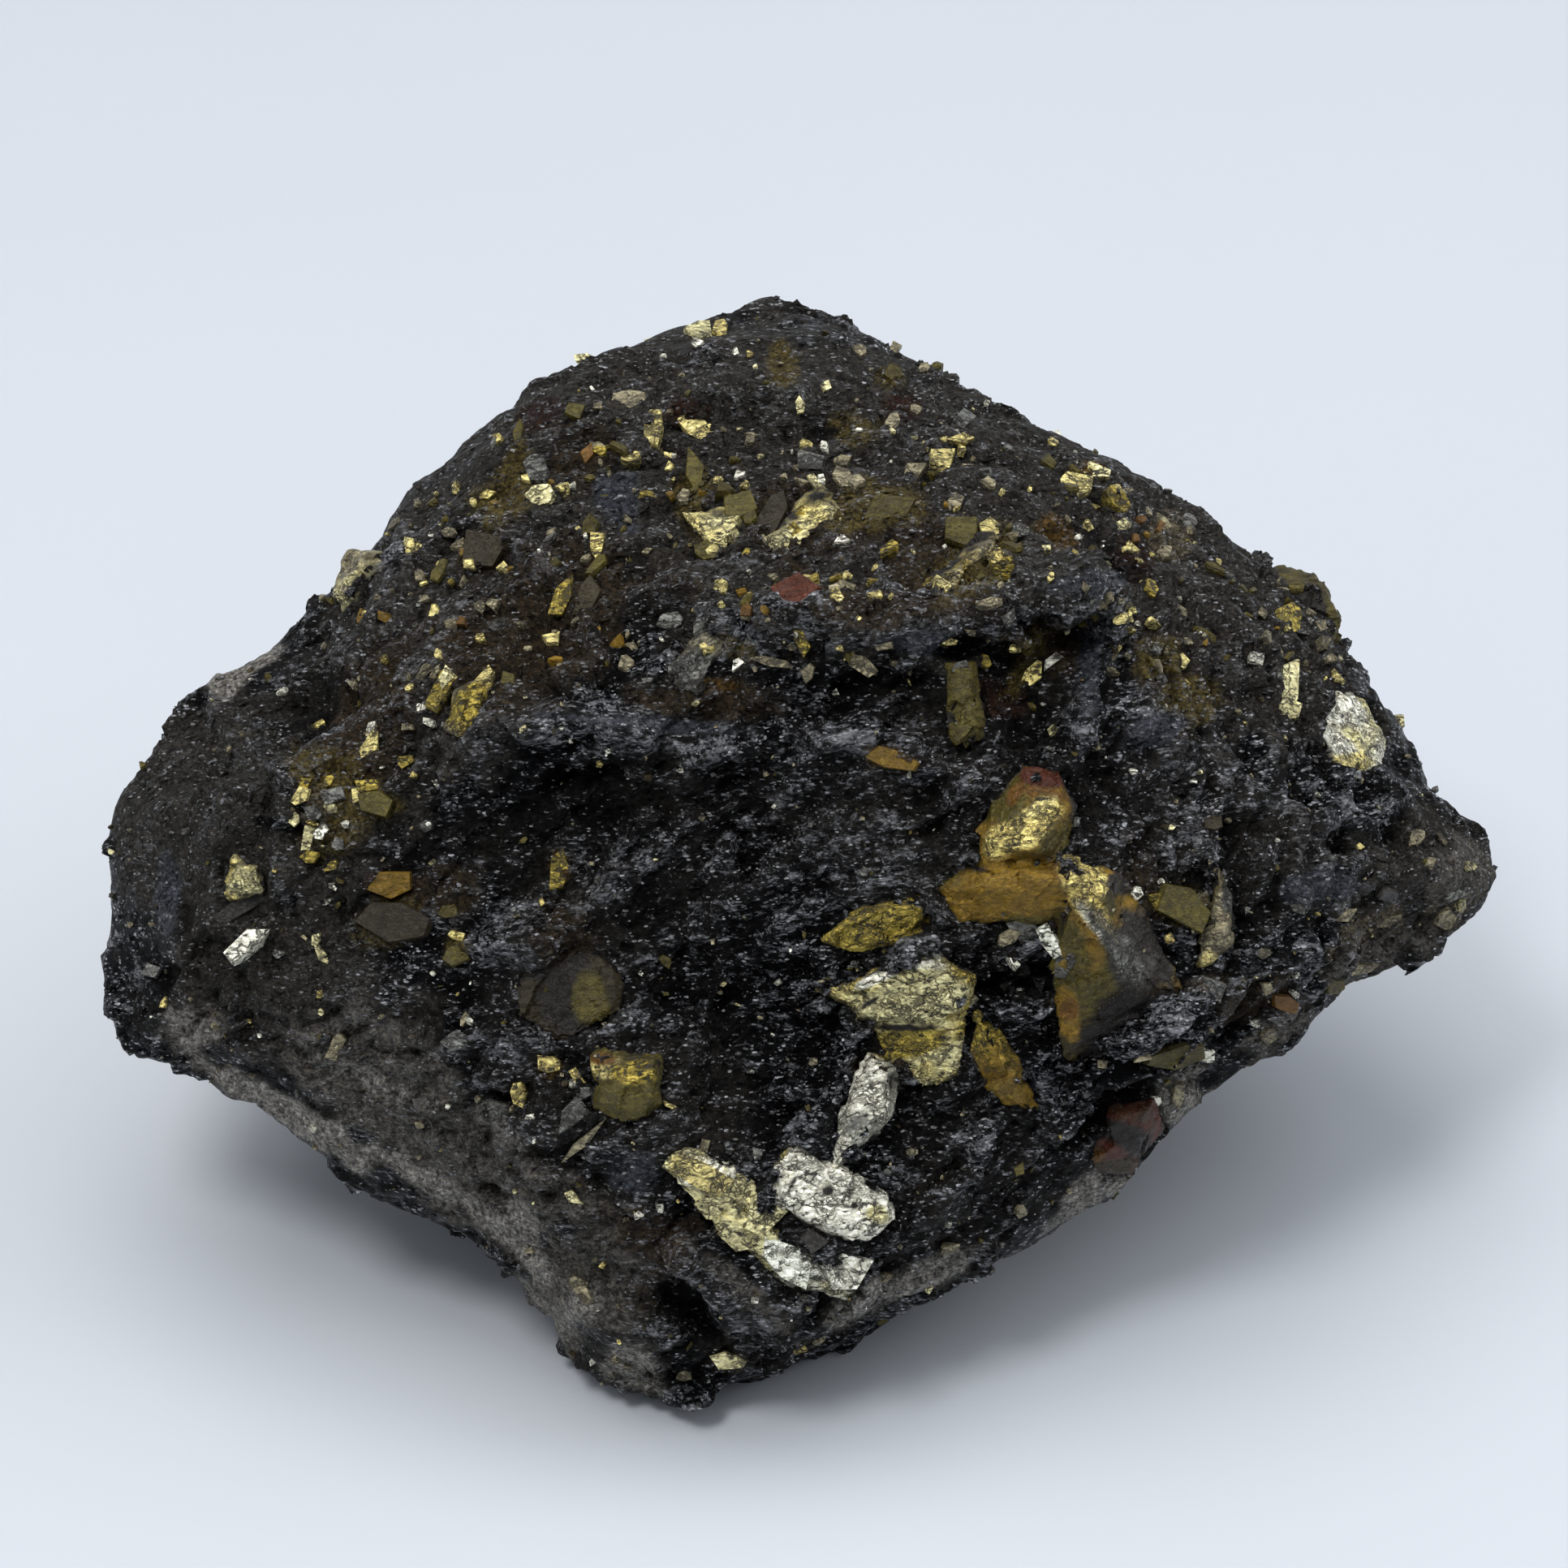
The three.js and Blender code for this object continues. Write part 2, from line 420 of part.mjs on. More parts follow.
      crest: [[-11.6, -3, 0.9], [-10.4, -1.8, 1.2], [-9.2, -2.2, 1.2], [-9.6, -3.7, 0.9]], root: 1.6 },
  ],
  right_end_chip: [
    { side: RIGHT, rim: [[12, -5.2], [13.6, -2.6], [16, -3], [16.2, -5], [14, -6.6]],
      crest: [[12.9, -4.8, 0.9], [13.9, -3.3, 1.3], [15.4, -3.5, 1.4], [15.2, -4.9, 1.1]], root: 1.7 },
  ],
};

const ROCK_FINISH = new THREE.MeshStandardMaterial({ color: 0x1b1b1e, roughness: 0.55, metalness: 0.4 });
const PYRITE_FINISH = new THREE.MeshStandardMaterial({ color: 0xb59a4c, roughness: 0.35, metalness: 1 });

function meshOf(name, solid, material) {
  const mesh = new THREE.Mesh(geometryFrom(solid), material);
  mesh.name = name;
  return mesh;
}

const specimen = new THREE.Group();
let rock = lump;
for (const [name, blocks] of Object.entries(CRYSTALS)) {
  const shapes = blocks.map(blockCorners);
  specimen.add(meshOf(name, joined(shapes.map(hullOf)), PYRITE_FINISH));
  rock = rock.subtract(joined(shapes.map((points) => hullOf(grown(points)))));
}
specimen.add(meshOf("host_rock", rock, ROCK_FINISH));

// The origin is under the middle of the whole specimen, on the rest plane.
const middle = new THREE.Box3().setFromObject(specimen).getCenter(new THREE.Vector3());
specimen.position.set(-middle.x, -middle.y, 0);

export default specimen;
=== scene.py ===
"""A rough pyrite specimen: a broken lump of black, finely glinting rock set with brassy crystals.

The rock is one closed surface, made by breaking up its solid into ledges and chips, and it is parted in
two pieces that meet edge to edge. Thousands of small flakes lie half sunk in it. Each large crystal is
its solid with cracked, stepped faces. Small crystals and grains are joined meshes. Lengths are in
millimetres until a mesh is written, and the frame's origin is under the middle of the specimen.
"""

import json
import math
from itertools import product

import bmesh
import bpy
import numpy as np
from mathutils import Matrix, Vector
from mathutils.bvhtree import BVHTree


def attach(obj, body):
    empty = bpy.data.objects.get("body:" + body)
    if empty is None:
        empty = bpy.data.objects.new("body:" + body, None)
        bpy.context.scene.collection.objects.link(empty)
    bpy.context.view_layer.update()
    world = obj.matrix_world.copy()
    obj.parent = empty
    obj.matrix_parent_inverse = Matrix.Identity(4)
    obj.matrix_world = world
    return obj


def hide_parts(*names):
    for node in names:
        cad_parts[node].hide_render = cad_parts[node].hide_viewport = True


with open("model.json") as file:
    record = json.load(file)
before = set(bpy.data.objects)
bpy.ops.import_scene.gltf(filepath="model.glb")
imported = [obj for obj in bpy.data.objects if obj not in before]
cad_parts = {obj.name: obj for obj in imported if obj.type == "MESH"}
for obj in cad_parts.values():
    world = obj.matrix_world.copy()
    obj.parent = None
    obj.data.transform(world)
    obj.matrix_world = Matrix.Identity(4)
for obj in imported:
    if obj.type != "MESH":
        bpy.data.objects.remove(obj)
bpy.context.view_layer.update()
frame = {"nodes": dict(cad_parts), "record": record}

MM = 0.001
SEED = 7

# The show face: a plane that leans back, with places on it given as across, up and out, in mm.
FACE_LEAN = math.radians(35)
FACE_POINT = np.array([-0.38, -6.41, 17.2])
VIEW_DISTANCE = 268
VIEW_AIM = (-0.5, 3.1)
ACROSS = np.array([1, 0, 0])
UP = np.array([0, math.sin(FACE_LEAN), math.cos(FACE_LEAN)])
OUT = np.array([0, -math.cos(FACE_LEAN), math.sin(FACE_LEAN)])

SENSOR_WIDTH = 36
PICTURE_WIDTH = 64.4  # what the picture takes in across the show face
LENS = SENSOR_WIDTH * VIEW_DISTANCE / PICTURE_WIDTH

ROCK_VOXEL = 0.22
CRYSTAL_VOXEL = 0.1
CRYSTAL_JAGS = 0.1  # how far a crystal's outline wanders
CRYSTAL_SPREAD = 1.07  # fills the gap around a crystal and makes up for what the rock covers
SOCKET_REACH = 0.56  # a socket's wall is at most this far from its crystal


def on_face(across, up, out):
    """The place that looks this far across and up the show face, and lies this far out from it."""
    spread = 1 - out / VIEW_DISTANCE
    shown = VIEW_AIM[0] + (across - VIEW_AIM[0]) * spread, VIEW_AIM[1] + (up - VIEW_AIM[1]) * spread
    return FACE_POINT + ACROSS * shown[0] + UP * shown[1] + OUT * out


def face_places(points):
    """Across, up and out of each point, as on_face takes them."""
    flat = points - FACE_POINT
    out = flat @ OUT
    grow = 1 / (1 - out / VIEW_DISTANCE)
    across = VIEW_AIM[0] + (flat @ ACROSS - VIEW_AIM[0]) * grow
    up = VIEW_AIM[1] + (flat @ UP - VIEW_AIM[1]) * grow
    return np.stack([across, up, out], 1)


# Repeatable noise

def cell_random(cells, salt):
    """Three numbers from 0 to 1 for each whole-number cell."""
    x, y, z = (cells[:, k].astype(np.int64).astype(np.uint64) for k in range(3))
    mixed = (x * np.uint64(73856093)) ^ (y * np.uint64(19349663)) ^ (z * np.uint64(83492791))
    mixed = (mixed ^ np.uint64(salt * 2654435761)) & np.uint64(0xFFFFFFFF)
    numbers = []
    for _ in range(3):
        mixed = ((mixed ^ (mixed >> np.uint64(15))) * np.uint64(2246822519)) & np.uint64(0xFFFFFFFF)
        mixed = ((mixed ^ (mixed >> np.uint64(13))) * np.uint64(3266489917)) & np.uint64(0xFFFFFFFF)
        numbers.append(mixed / float(0xFFFFFFFF))
    return np.stack(numbers, 1)


def smooth_noise(points, size, salt):
    """From -1 to 1, with lumps about `size` across."""
    scaled = points / size
    low = np.floor(scaled)
    t = scaled - low
    t = t * t * (3 - 2 * t)
    total = np.zeros(len(points))
    for corner in product((0, 1), repeat=3):
        weight = np.prod(np.where(corner, t, 1 - t), axis=1)
        total += weight * cell_random(low + corner, salt)[:, 0]
    return total * 2 - 1


def layered_noise(points, size, salt, layers=3):
    """Smooth noise in layers, each half as large and half as strong as the one before."""
    parts = (smooth_noise(points, size / 2**k, salt + k) / 2**k for k in range(layers))
    return sum(parts)


def chips(points, size, salt):
    """Heights, about -size to size, that break a surface into flat, tilted chips about `size` across."""
    scaled = points / size
    low = np.floor(scaled)
    nearest = np.full(len(points), np.inf)
    height = np.zeros(len(points))
    for offset in product((-1, 0, 1), repeat=3):
        cell = low + offset
        gap = scaled - cell - cell_random(cell, salt)
        distance = (gap**2).sum(1)
        tilt = cell_random(cell, salt + 1) * 2 - 1
        step = cell_random(cell, salt + 2)[:, 0] - 0.5
        closer = distance < nearest
        nearest[closer] = distance[closer]
        height[closer] = ((gap * tilt).sum(1) + step)[closer]
    return height * size


# Mesh helpers

WELD_DISTANCE = 0.002


def link(name, mesh):
    obj = bpy.data.objects.new(name, mesh)
    bpy.context.scene.collection.objects.link(obj)
    return obj


def mesh_from(name, points, faces):
    """A mesh from points in mm and faces as lists of indices."""
    mesh = bpy.data.meshes.new(name)
    mesh.from_pydata((np.asarray(points) * MM).tolist(), [], faces)
    mesh.update()
    return mesh


def numbers_of(items, name, width, kind=float):
    """What each of a mesh's items has under a name, in rows of this many numbers."""
    flat = np.empty(len(items) * width, kind)
    items.foreach_get(name, flat)
    return flat.reshape(-1, width)


def points_of(mesh):
    return numbers_of(mesh.vertices, "co", 3) / MM


def normals_of(mesh):
    return numbers_of(mesh.vertex_normals, "vector", 3)


def triangles_of(mesh):
    mesh.calc_loop_triangles()
    return numbers_of(mesh.loop_triangles, "vertices", 3, int)


def squares_of(mesh):
    """The corners of each face of a mesh that has only four-sided faces."""
    return numbers_of(mesh.loops, "vertex_index", 1, int).reshape(-1, 4)


def move_points(mesh, points):
    mesh.vertices.foreach_set("co", (points * MM).ravel())
    mesh.update()


def welded(node):
    """A bmesh of a CAD node with its shared corners merged."""
    mesh = bmesh.new()
    mesh.from_mesh(frame["nodes"][node].data)
    bmesh.ops.remove_doubles(mesh, verts=mesh.verts, dist=WELD_DISTANCE * MM)
    return mesh


def remeshed(name, mesh, voxel):
    """An even mesh of small squares over a closed mesh."""
    source = link(name + "_source", mesh)
    voxels = source.modifiers.new("voxels", "REMESH")
    voxels.mode = "VOXEL"
    voxels.voxel_size = voxel * MM
    ready = source.evaluated_get(bpy.context.evaluated_depsgraph_get())
    result = bpy.data.meshes.new_from_object(ready)
    result.name = name
    bpy.data.objects.remove(source)
    return result


def relax(mesh, rounds):
    """Draws each point towards the middle of its neighbours, a number of times."""
    points = points_of(mesh)
    a, b = numbers_of(mesh.edges, "vertices", 2, int).T
    count = np.bincount(np.concatenate([a, b]), minlength=len(points))[:, None]
    for _ in range(rounds):
        sums = np.stack([np.bincount(a, points[b, k], len(points)) + np.bincount(b, points[a, k], len(points))
                         for k in range(3)], 1)
        points = (points + sums / count) / 2
    move_points(mesh, points)


def set_attribute(mesh, name, values):
    attribute = mesh.attributes.new(name, "FLOAT", "POINT")
    attribute.data.foreach_set("value", np.asarray(values, np.float32))


def set_colour(mesh, name, colours):
    attribute = mesh.attributes.new(name, "FLOAT_COLOR", "POINT")
    rgba = np.concatenate([colours, np.ones((len(colours), 1))], 1)
    attribute.data.foreach_set("color", rgba.astype(np.float32).ravel())


# Spots on the show face are ovals with a ragged, soft edge, measured in shares of their radius.
SPOT_WANDER = 0.45
SPOT_WANDER_SIZE = 1.4
SPOT_END = 1.25
SPOT_EDGE = 0.4


def rows_of(text):
    """Rows of a name and five numbers, from text. The last number is 0 where it is left out."""
    rows = []
    for row in text.split(";"):
        name, *numbers = row.split()
        numbers = [float(number) for number in numbers] + [0.0]
        rows.append((name, *numbers[:5]))
    return rows


def spot_depths(points, places, spots):
    """For each spot (across, up, length, width, angle), how deep each place lies in it, from 0 to 1."""
    ragged = SPOT_WANDER * layered_noise(points, SPOT_WANDER_SIZE, 71)
    for across, up, length, width, angle in spots:
        turn = math.radians(angle)
        x, y = places[:, 0] - across, places[:, 1] - up
        along = x * math.cos(turn) + y * math.sin(turn)
        aside = y * math.cos(turn) - x * math.sin(turn)
        distance = np.hypot(along / (length / 2), aside / (width / 2)) + ragged
        yield np.clip((SPOT_END - distance) / SPOT_EDGE, 0, 1)


# The rock

CRYSTAL_NODES = sorted(set(frame["nodes"]) - {"host_rock"})
HEART = np.array([0, -2, 14])  # inside the rock
BANK_SPREAD = 1.3  # the bank of rock around a crystal is this much wider than the crystal
BANK_DEPTH = 0.32  # and lies this much deeper
SHOWN_SHARE = 0.3  # a crystal whose middle lies more than this towards the viewpoint is a shown one
RISE_RANGE = 1.5  # from the deepest pits to the highest crests
RAGGED_SLOPE = 0.8  # the rock partly covers crystal faces that are steeper than this
OVERHANG = 0.9  # rock that stands less than this over a crystal is cleared off it
CLEARANCE = 0.2  # and ends up this far under the crystal's face
REST_HEIGHT = 0.25  # lower than this, the rock is the flat spot that it rests on
RELAX_ROUNDS = 8
# The direction across the rock's layers, the one that its grain runs in, and the scale of that grain.
LAYER = np.array([-0.35, -0.45, 0.82]) / np.linalg.norm([-0.35, -0.45, 0.82])
STREAK = np.cross(LAYER, OUT) / np.linalg.norm(np.cross(LAYER, OUT))
GRAIN_AXES = np.stack([STREAK / 2.2, LAYER / 0.8, np.cross(LAYER, STREAK)], 1)

# What stains the rock, and the painted shadow and painted sheen on it, as linear colours.
STAINS_AND_PAINTED_LIGHT = {
    "dull": (0.055, 0.049, 0.040),
    "brown": (0.050, 0.034, 0.018),
    "red": (0.040, 0.016, 0.008),
    "olive": (0.14, 0.105, 0.03),
    "amber": (0.16, 0.088, 0.018),
    "tan": (0.17, 0.14, 0.09),
    "dust": (0.44, 0.41, 0.36),
    "grime": (0.165, 0.150, 0.126),
    # Painted sheen: a bluish grey laid along crests and lit slopes of the rock.
    "slate": (0.075, 0.082, 0.10),
    # Painted shadow: near black, laid in hollows, gaps and under ledges where shade falls.
    "void": (0.002, 0.002, 0.002),
}
# Where, on the show face: stain, across, up, length, width and angle, which is 0 where it is left out.
# Some spots are painted light: the bluish grey ones paint sheen along crests and lit slopes, and the
# near-black ones paint shade in hollows and gaps.
STAIN_AND_PAINTED_LIGHT_SPOTS = rows_of("""
    dull -1 16 38 13 -8; dull -23 2 9 12 60; dull 18 10 12 8 -45; dull -14 9 12 9 50;
    dull 25.5 -1 6 7 -40; dull -20 -6 12 6 -30; brown -10.5 9.5 10 5 30; brown -12.8 12.7 2.4 2;
    brown -17.5 5.5 7 3.4 70; brown -3.5 6.6 6 1.6 -5; brown 3 10.4 9 1.6 3; brown 0 11.5 2 1.4;
    brown 9.8 9 2.2 4.6 70; brown 1 14 9 3; brown -8.6 16.4 3 3; brown 5.2 12.8 4 3;
    brown 15 8 3.4 2 -60; brown 12.8 -2 3 6 -30; brown -6.4 -16.3 5 4.5; brown -14.2 -1.4 3.6 2.4;
    brown 19 -5.8 3.4 1.6 20; brown -9.6 -3.4 2.4 3.6; brown 3.4 -8.6 3 1.6; brown 19 -8.4 3 1.4 20;
    red -16.6 -1 1.9 1.1; red 4.4 18.6 1.6 1.2; red -4.4 18.5 1.6 1; red -10.6 18.2 2 1 20;
    red 13.8 12.6 2 1.2 -30; red 8.4 6.6 1.4 2.2 70; olive -16.5 -2.7 2.9 1.9; olive -0.6 20.2 1 1.7;
    olive 2.6 17.6 2 1.2 -10; olive -17.2 2.2 1.6 1.3; olive 14.8 8.4 1.4 1.6 -50;
    olive 16 6.2 1.8 2.4 -30; olive 3.9 19.8 1.1 0.8; olive -11.6 16.4 0.9 1.8 -30;
    olive 7.2 12 3.6 1.6 40; olive 2.2 14.4 1.6 2.6 -30; olive -13.9 -3.6 1.4 1.4;
    olive 9.4 8.2 0.9 3 -28; olive 16 -2 2.2 1.7; olive -19.8 3.6 2 1.6; olive -2.4 8.8 1.6 1;
    olive -18.8 2 3.6 2.6 70; tan -19.8 1.8 2.4 1 80; olive 7.4 12.6 4 2 30;
    olive -4.3 14.8 2.6 1.4 85; olive 3.8 14.4 3 1.6 5; olive -12 15 3 1.6 50;
    amber 10.8 13.4 1.6 1 -30; amber 3.9 4.2 2.1 0.8 -10; amber -9.7 -0.4 0.8 1.7 10;
    amber -14 -4.1 1 0.8; amber -3.4 7.2 2.2 0.5 -8; amber 12.2 16.2 0.8 0.5; amber -10.1 -8.6 1.4 1;
    tan 23.7 -3.1 2.9 1.9 10; tan 22.4 -3.9 1.2 0.8; tan -2.9 -20.6 1.5 0.8 -5;
    tan 26.6 -1.6 1.6 2.4 10; tan 15.3 13.2 1.8 1.6; tan 17 -5.1 1.2 0.9; grime -17 -9 8 4 -25;
    grime -13 -12.6 9 4.6 -35; grime -9.4 -17.6 5 6 -40; dust -20.5 -10.6 8 1.2 -32;
    dust -14.8 -13.4 7 1 -28; dust -11 -16 1.4 4 20; dust -9.2 -18.6 1.4 3 -40;
    dust -6.6 -21 3.4 1.8 -30; dust 4.6 -17.4 8 1.2 24; dust 12.4 -13.4 4.4 1.6 40;
    dust 16 -9.8 4 1.8 40; grime 19.6 -7.2 4.4 1.4 38; grime -2.2 -17.7 6 0.9 -40;
    grime 24 -4 5 1.6 28; grime 27.2 -0.6 2.2 3; dust -17.6 -9 4 0.9 -25; dust -25 -7 3 1.6 -10;
    dust -22.6 8.2 5 1.2 40; slate -7.4 14.8 1.8 2.6 30; slate 12 11.4 3 0.7 8; slate -6 5.6 8 0.5 -4;
    slate 14.6 5.2 2.8 1.2 20; slate -8.6 -6.4 2 1 30; slate -6.6 -13 2 1.6 -40; slate 22 -1 3.4 1.2 8;
    slate -25.8 -1.5 0.9 3; slate 5.2 8.9 3 0.9 4; void -4.4 -18.4 3.2 1.5 -38;
    void 10.6 -4.8 4.6 1.1 12; void 8.6 9.6 5 0.6 16; void 1 17.6 1 0.5 -8; void -21 1.4 0.6 2.6 80;
    void -26.4 -4.6 1.2 2.6 10; void 12.7 7.8 5.5 0.6 87; slate 12 8 5.2 0.7 87; void 17.4 -8.8 3 1 30;
    void 14.4 -11.4 2.4 1 40
""")
SHOWN_COVER = 0.15  # how much of the rock is stained outside the spots
HIDDEN_COVER = 0.5
TURN_SHARPNESS = 4  # how fast the hidden side's look takes over


def stained(points, facing):
    """The colour of the stains, painted shadow and painted sheen, and their cover, from 0 to 1, at each
    point.
    """
    places = face_places(points)
    colours = np.tile(STAINS_AND_PAINTED_LIGHT["dull"], (len(points), 1))
    cover = np.clip(SHOWN_COVER + 0.5 * layered_noise(points, 5, 41), 0, 1)
    hidden = np.clip(-TURN_SHARPNESS * facing, 0, 1)
    hidden_cover = np.clip(HIDDEN_COVER + layered_noise(points, 6, 43), 0, 1)
    cover = cover * (1 - hidden) + hidden * hidden_cover
    spots = [spot[1:] for spot in STAIN_AND_PAINTED_LIGHT_SPOTS]
    for (name, *_), depth in zip(STAIN_AND_PAINTED_LIGHT_SPOTS, spot_depths(points, places, spots)):
        depth = (depth * (1 - hidden))[:, None]
        colours = colours * (1 - depth) + np.array(STAINS_AND_PAINTED_LIGHT[name]) * depth
        cover = np.maximum(cover, depth[:, 0])
    return colours, cover


def facing_of(middle):
    """The direction in which a crystal with this middle faces."""
    outward = (middle - HEART) / np.linalg.norm(middle - HEART)
    return OUT if outward @ OUT > SHOWN_SHARE else outward


def widened(crystal, spread, depth):
    """Widens a crystal about its middle and sinks it into the rock."""
    middle = np.mean([v.co for v in crystal.verts], axis=0)
    outward = facing_of(middle / MM)
    for corner in crystal.verts:
        gap = np.array(corner.co) - middle
        across = gap - outward * (gap @ outward)
        corner.co = Vector(middle + gap + across * (spread - 1) - outward * depth * MM)


def crystal_surface(spread=1.0):
    """All the crystals as one surface, to measure from."""
    corners, faces = [], []
    for node in CRYSTAL_NODES:
        crystal = welded(node)
        widened(crystal, spread, 0)
        faces += [[v.index + len(corners) for v in f.verts] for f in crystal.faces]
        corners += [v.co.copy() for v in crystal.verts]
        crystal.free()
    return BVHTree.FromPolygons(corners, faces)


def crystal_mesh(node, spread, depth=0):
    """A crystal's solid as a mesh, widened and sunk."""
    crystal = welded(node)
    widened(crystal, spread, depth)
    mesh = bpy.data.meshes.new(node)
    crystal.to_mesh(mesh)
    crystal.free()
    return mesh


def banks():
    """The widened and sunk crystals, in one mesh."""
    gathered = bmesh.new()
    for node in CRYSTAL_NODES:
        gathered.from_mesh(crystal_mesh(node, BANK_SPREAD, BANK_DEPTH))
    mesh = bpy.data.meshes.new("banks")
    gathered.to_mesh(mesh)
    gathered.free()
    return mesh


def closed_lump():
    """The rock's solid with its sockets closed and a bank of rock around each crystal."""
    crystals = crystal_surface()
    rock = welded("host_rock")
    near = {v for v in rock.verts if crystals.find_nearest(v.co)[3] < SOCKET_REACH * MM}
    walls = [f for f in rock.faces if all(v in near for v in f.verts)]
    bmesh.ops.delete(rock, geom=walls, context="FACES")
    rims = [e for e in rock.edges if e.is_boundary]
    bmesh.ops.holes_fill(rock, edges=rims, sides=0)
    bmesh.ops.triangulate(rock, faces=rock.faces[:])
    rock.from_mesh(banks())
    mesh = bpy.data.meshes.new("lump")
    rock.to_mesh(mesh)
    rock.free()
    return mesh


# Worn, smoother parts of the rock: across, up, length, width, angle.
SMOOTH_SPOTS = [
    (-26.5, -1, 4.5, 13, 0), (-22.6, 6.6, 9, 3, 40), (-2, 21.6, 14, 3, -8), (27.4, -0.8, 4.4, 5, 0),
    (-18, -11.6, 16, 3, -32), (-9, -18, 9, 3.4, -52), (13, -12.6, 16, 2.4, 38), (-14.6, 15.6, 9, 3, 48),
    (13.4, 17, 12, 2.4, -28), (24.6, 6, 3, 9, 20), (13.6, -4.4, 4, 3.4, -60),
]
SMOOTH_RELIEF = 0.22  # share of the relief that is left where the rock is smooth
RIM_WIDTH = 0.55  # the rock grows smooth towards its rim as seen, where it turns away from the viewpoint
LAYER_THICKNESS = 1.5
LAYER_BEND = 0.8
LEDGE_RISE = 0.55
LEDGE_SLOPE = 0.75  # the share of a layer over which its ledge rises, before it falls off
CREASE_SHARPNESS = 2.6


def creases(points, size, salt):
    """From -1 to 1, with sharp crests about `size` apart."""
    return 1 - CREASE_SHARPNESS * abs(smooth_noise(points, size, salt))


def ledges_of(points):
    """The heights of the rock's layers, each of which rises slowly and falls off at its edge, in patches."""
    layer = points @ LAYER / LAYER_THICKNESS + layered_noise(points, 5, 31) * LAYER_BEND
    along = layer - np.floor(layer)
    ledges = np.minimum(along / LEDGE_SLOPE, (1 - along) / (1 - LEDGE_SLOPE)) - 0.5
    patchy = np.clip(layered_noise(points, 6, 17) + 0.5, 0, 1)
    return LEDGE_RISE * ledges * patchy


def broken_surface(points, facing):
    """How far the broken surface stands off the smooth one."""
    grain = points @ GRAIN_AXES
    # Each form is given its height, its size and its salt.
    relief = (
        0.3 * layered_noise(points, 5, 3)
        + ledges_of(points)
        + 0.16 * creases(grain, 1.3, 53)
        + 0.1 * creases(grain, 0.6, 57)
        + 0.32 * chips(grain, 1.7, 5)
        + 0.26 * chips(grain, 0.75, 9)
        + 0.07 * layered_noise(grain, 0.4, 13, 2)
    )
    smooth = np.max(list(spot_depths(points, face_places(points), SMOOTH_SPOTS)), axis=0)
    rim = np.clip(1 - abs(facing) / RIM_WIDTH, 0, 1)
    return relief * (1 - (1 - SMOOTH_RELIEF) * np.maximum(smooth, rim))


# Crests on the show face: height, width, then the places that each runs through, as across and up.
CRESTS = [
    (0.7, 0.7, [(-14, 3.4), (-12, 5.2), (-9.7, 6), (-6.3, 5.2), (-2.5, 4.8)]),
    (0.9, 0.8, [(-2.7, 9.3), (0.7, 9.8), (4, 9.7), (7.3, 10.2), (10.3, 10.5), (12, 11.5)]),
    (0.9, 0.55, [(12.3, 10.8), (12.1, 8), (11.8, 5.2)]),
    (0.6, 0.5, [(0, 5.2), (3.7, 4.7), (7.3, 3.2)]),
    (0.6, 0.6, [(-13, -3.6), (-10.4, -3.6), (-8.4, -2.2), (-7.4, 0.6)]),
    (0.6, 0.5, [(-21.3, 3.4), (-21.3, 1.4), (-20.9, -0.8)]),
    (0.8, 0.6, [(-4.4, -16.6), (-2.2, -18.2), (-0.4, -19)]),
    (0.5, 0.5, [(-12, 13.4), (-9.4, 11.2), (-7.6, 8)]),
    (0.5, 0.6, [(-16, 14), (-16.6, 10.4), (-18, 7.6)]),
    (0.5, 0.5, [(13.6, -7.4), (10.4, -8.6), (7.6, -12)]),
    (0.5, 0.5, [(14.6, 9.6), (14, 6), (16.6, 2.4)]),
    (0.5, 0.5, [(17, 3.2), (20, 1.6), (24, 1.4)]),
    (0.5, 0.5, [(15, -6.6), (18, -4.8), (21.6, -3.2)]),
    (0.5, 0.5, [(8.6, 12.2), (10, 10.8), (12.6, 10.6)]),
    (0.45, 0.5, [(-23.6, 6), (-22.6, 3.4), (-24, 0.4)]),
    (0.5, 0.6, [(1.6, 12.4), (4.4, 11.6), (7, 9.8)]),
    (0.5, 0.5, [(-1.6, 12.8), (-4.4, 10.6), (-8, 10.2)]),
    (0.45, 0.5, [(-3.6, 18.8), (0, 18.6), (3.4, 16.8), (6, 17)]),
]
# Hollows: depth, then across, up, length, width, angle.
HOLLOWS = [
    (1.1, -4.4, -18.3, 2.6, 1.3, -38), (0.9, 10, -4.9, 3.6, 1.1, 12), (0.7, 8.6, 9.3, 4.6, 0.9, 14),
    (0.6, -8, 2.8, 5, 2.2, -10), (0.5, -20.2, 6, 4, 1.6, 30), (0.6, -24.6, -5, 1.8, 2.8, 10),
    (0.6, 1, 17.4, 1.3, 0.8, -8), (0.5, 17.2, -9, 2.6, 1, 30), (0.5, 13, -10, 3, 1.2, 30),
    (0.5, -11, 8.6, 3, 1.3, 60), (0.5, 3.2, 7.4, 4, 1.2, 0), (0.4, 9.4, 5.6, 2.4, 1.4, 60),
]
CREST_GAIN = 1.35
CREST_WANDER = 0.5


def distance_to_line(places, line):
    """How far each place is from a line through some points, across and up."""
    line = np.array(line, float)
    nearest = np.full(len(places), np.inf)
    for start, end in zip(line[:-1], line[1:]):
        span = end - start
        share = np.clip((places - start) @ span / (span @ span), 0, 1)
        nearest = np.minimum(nearest, np.linalg.norm(places - start - share[:, None] * span, axis=1))
    return nearest


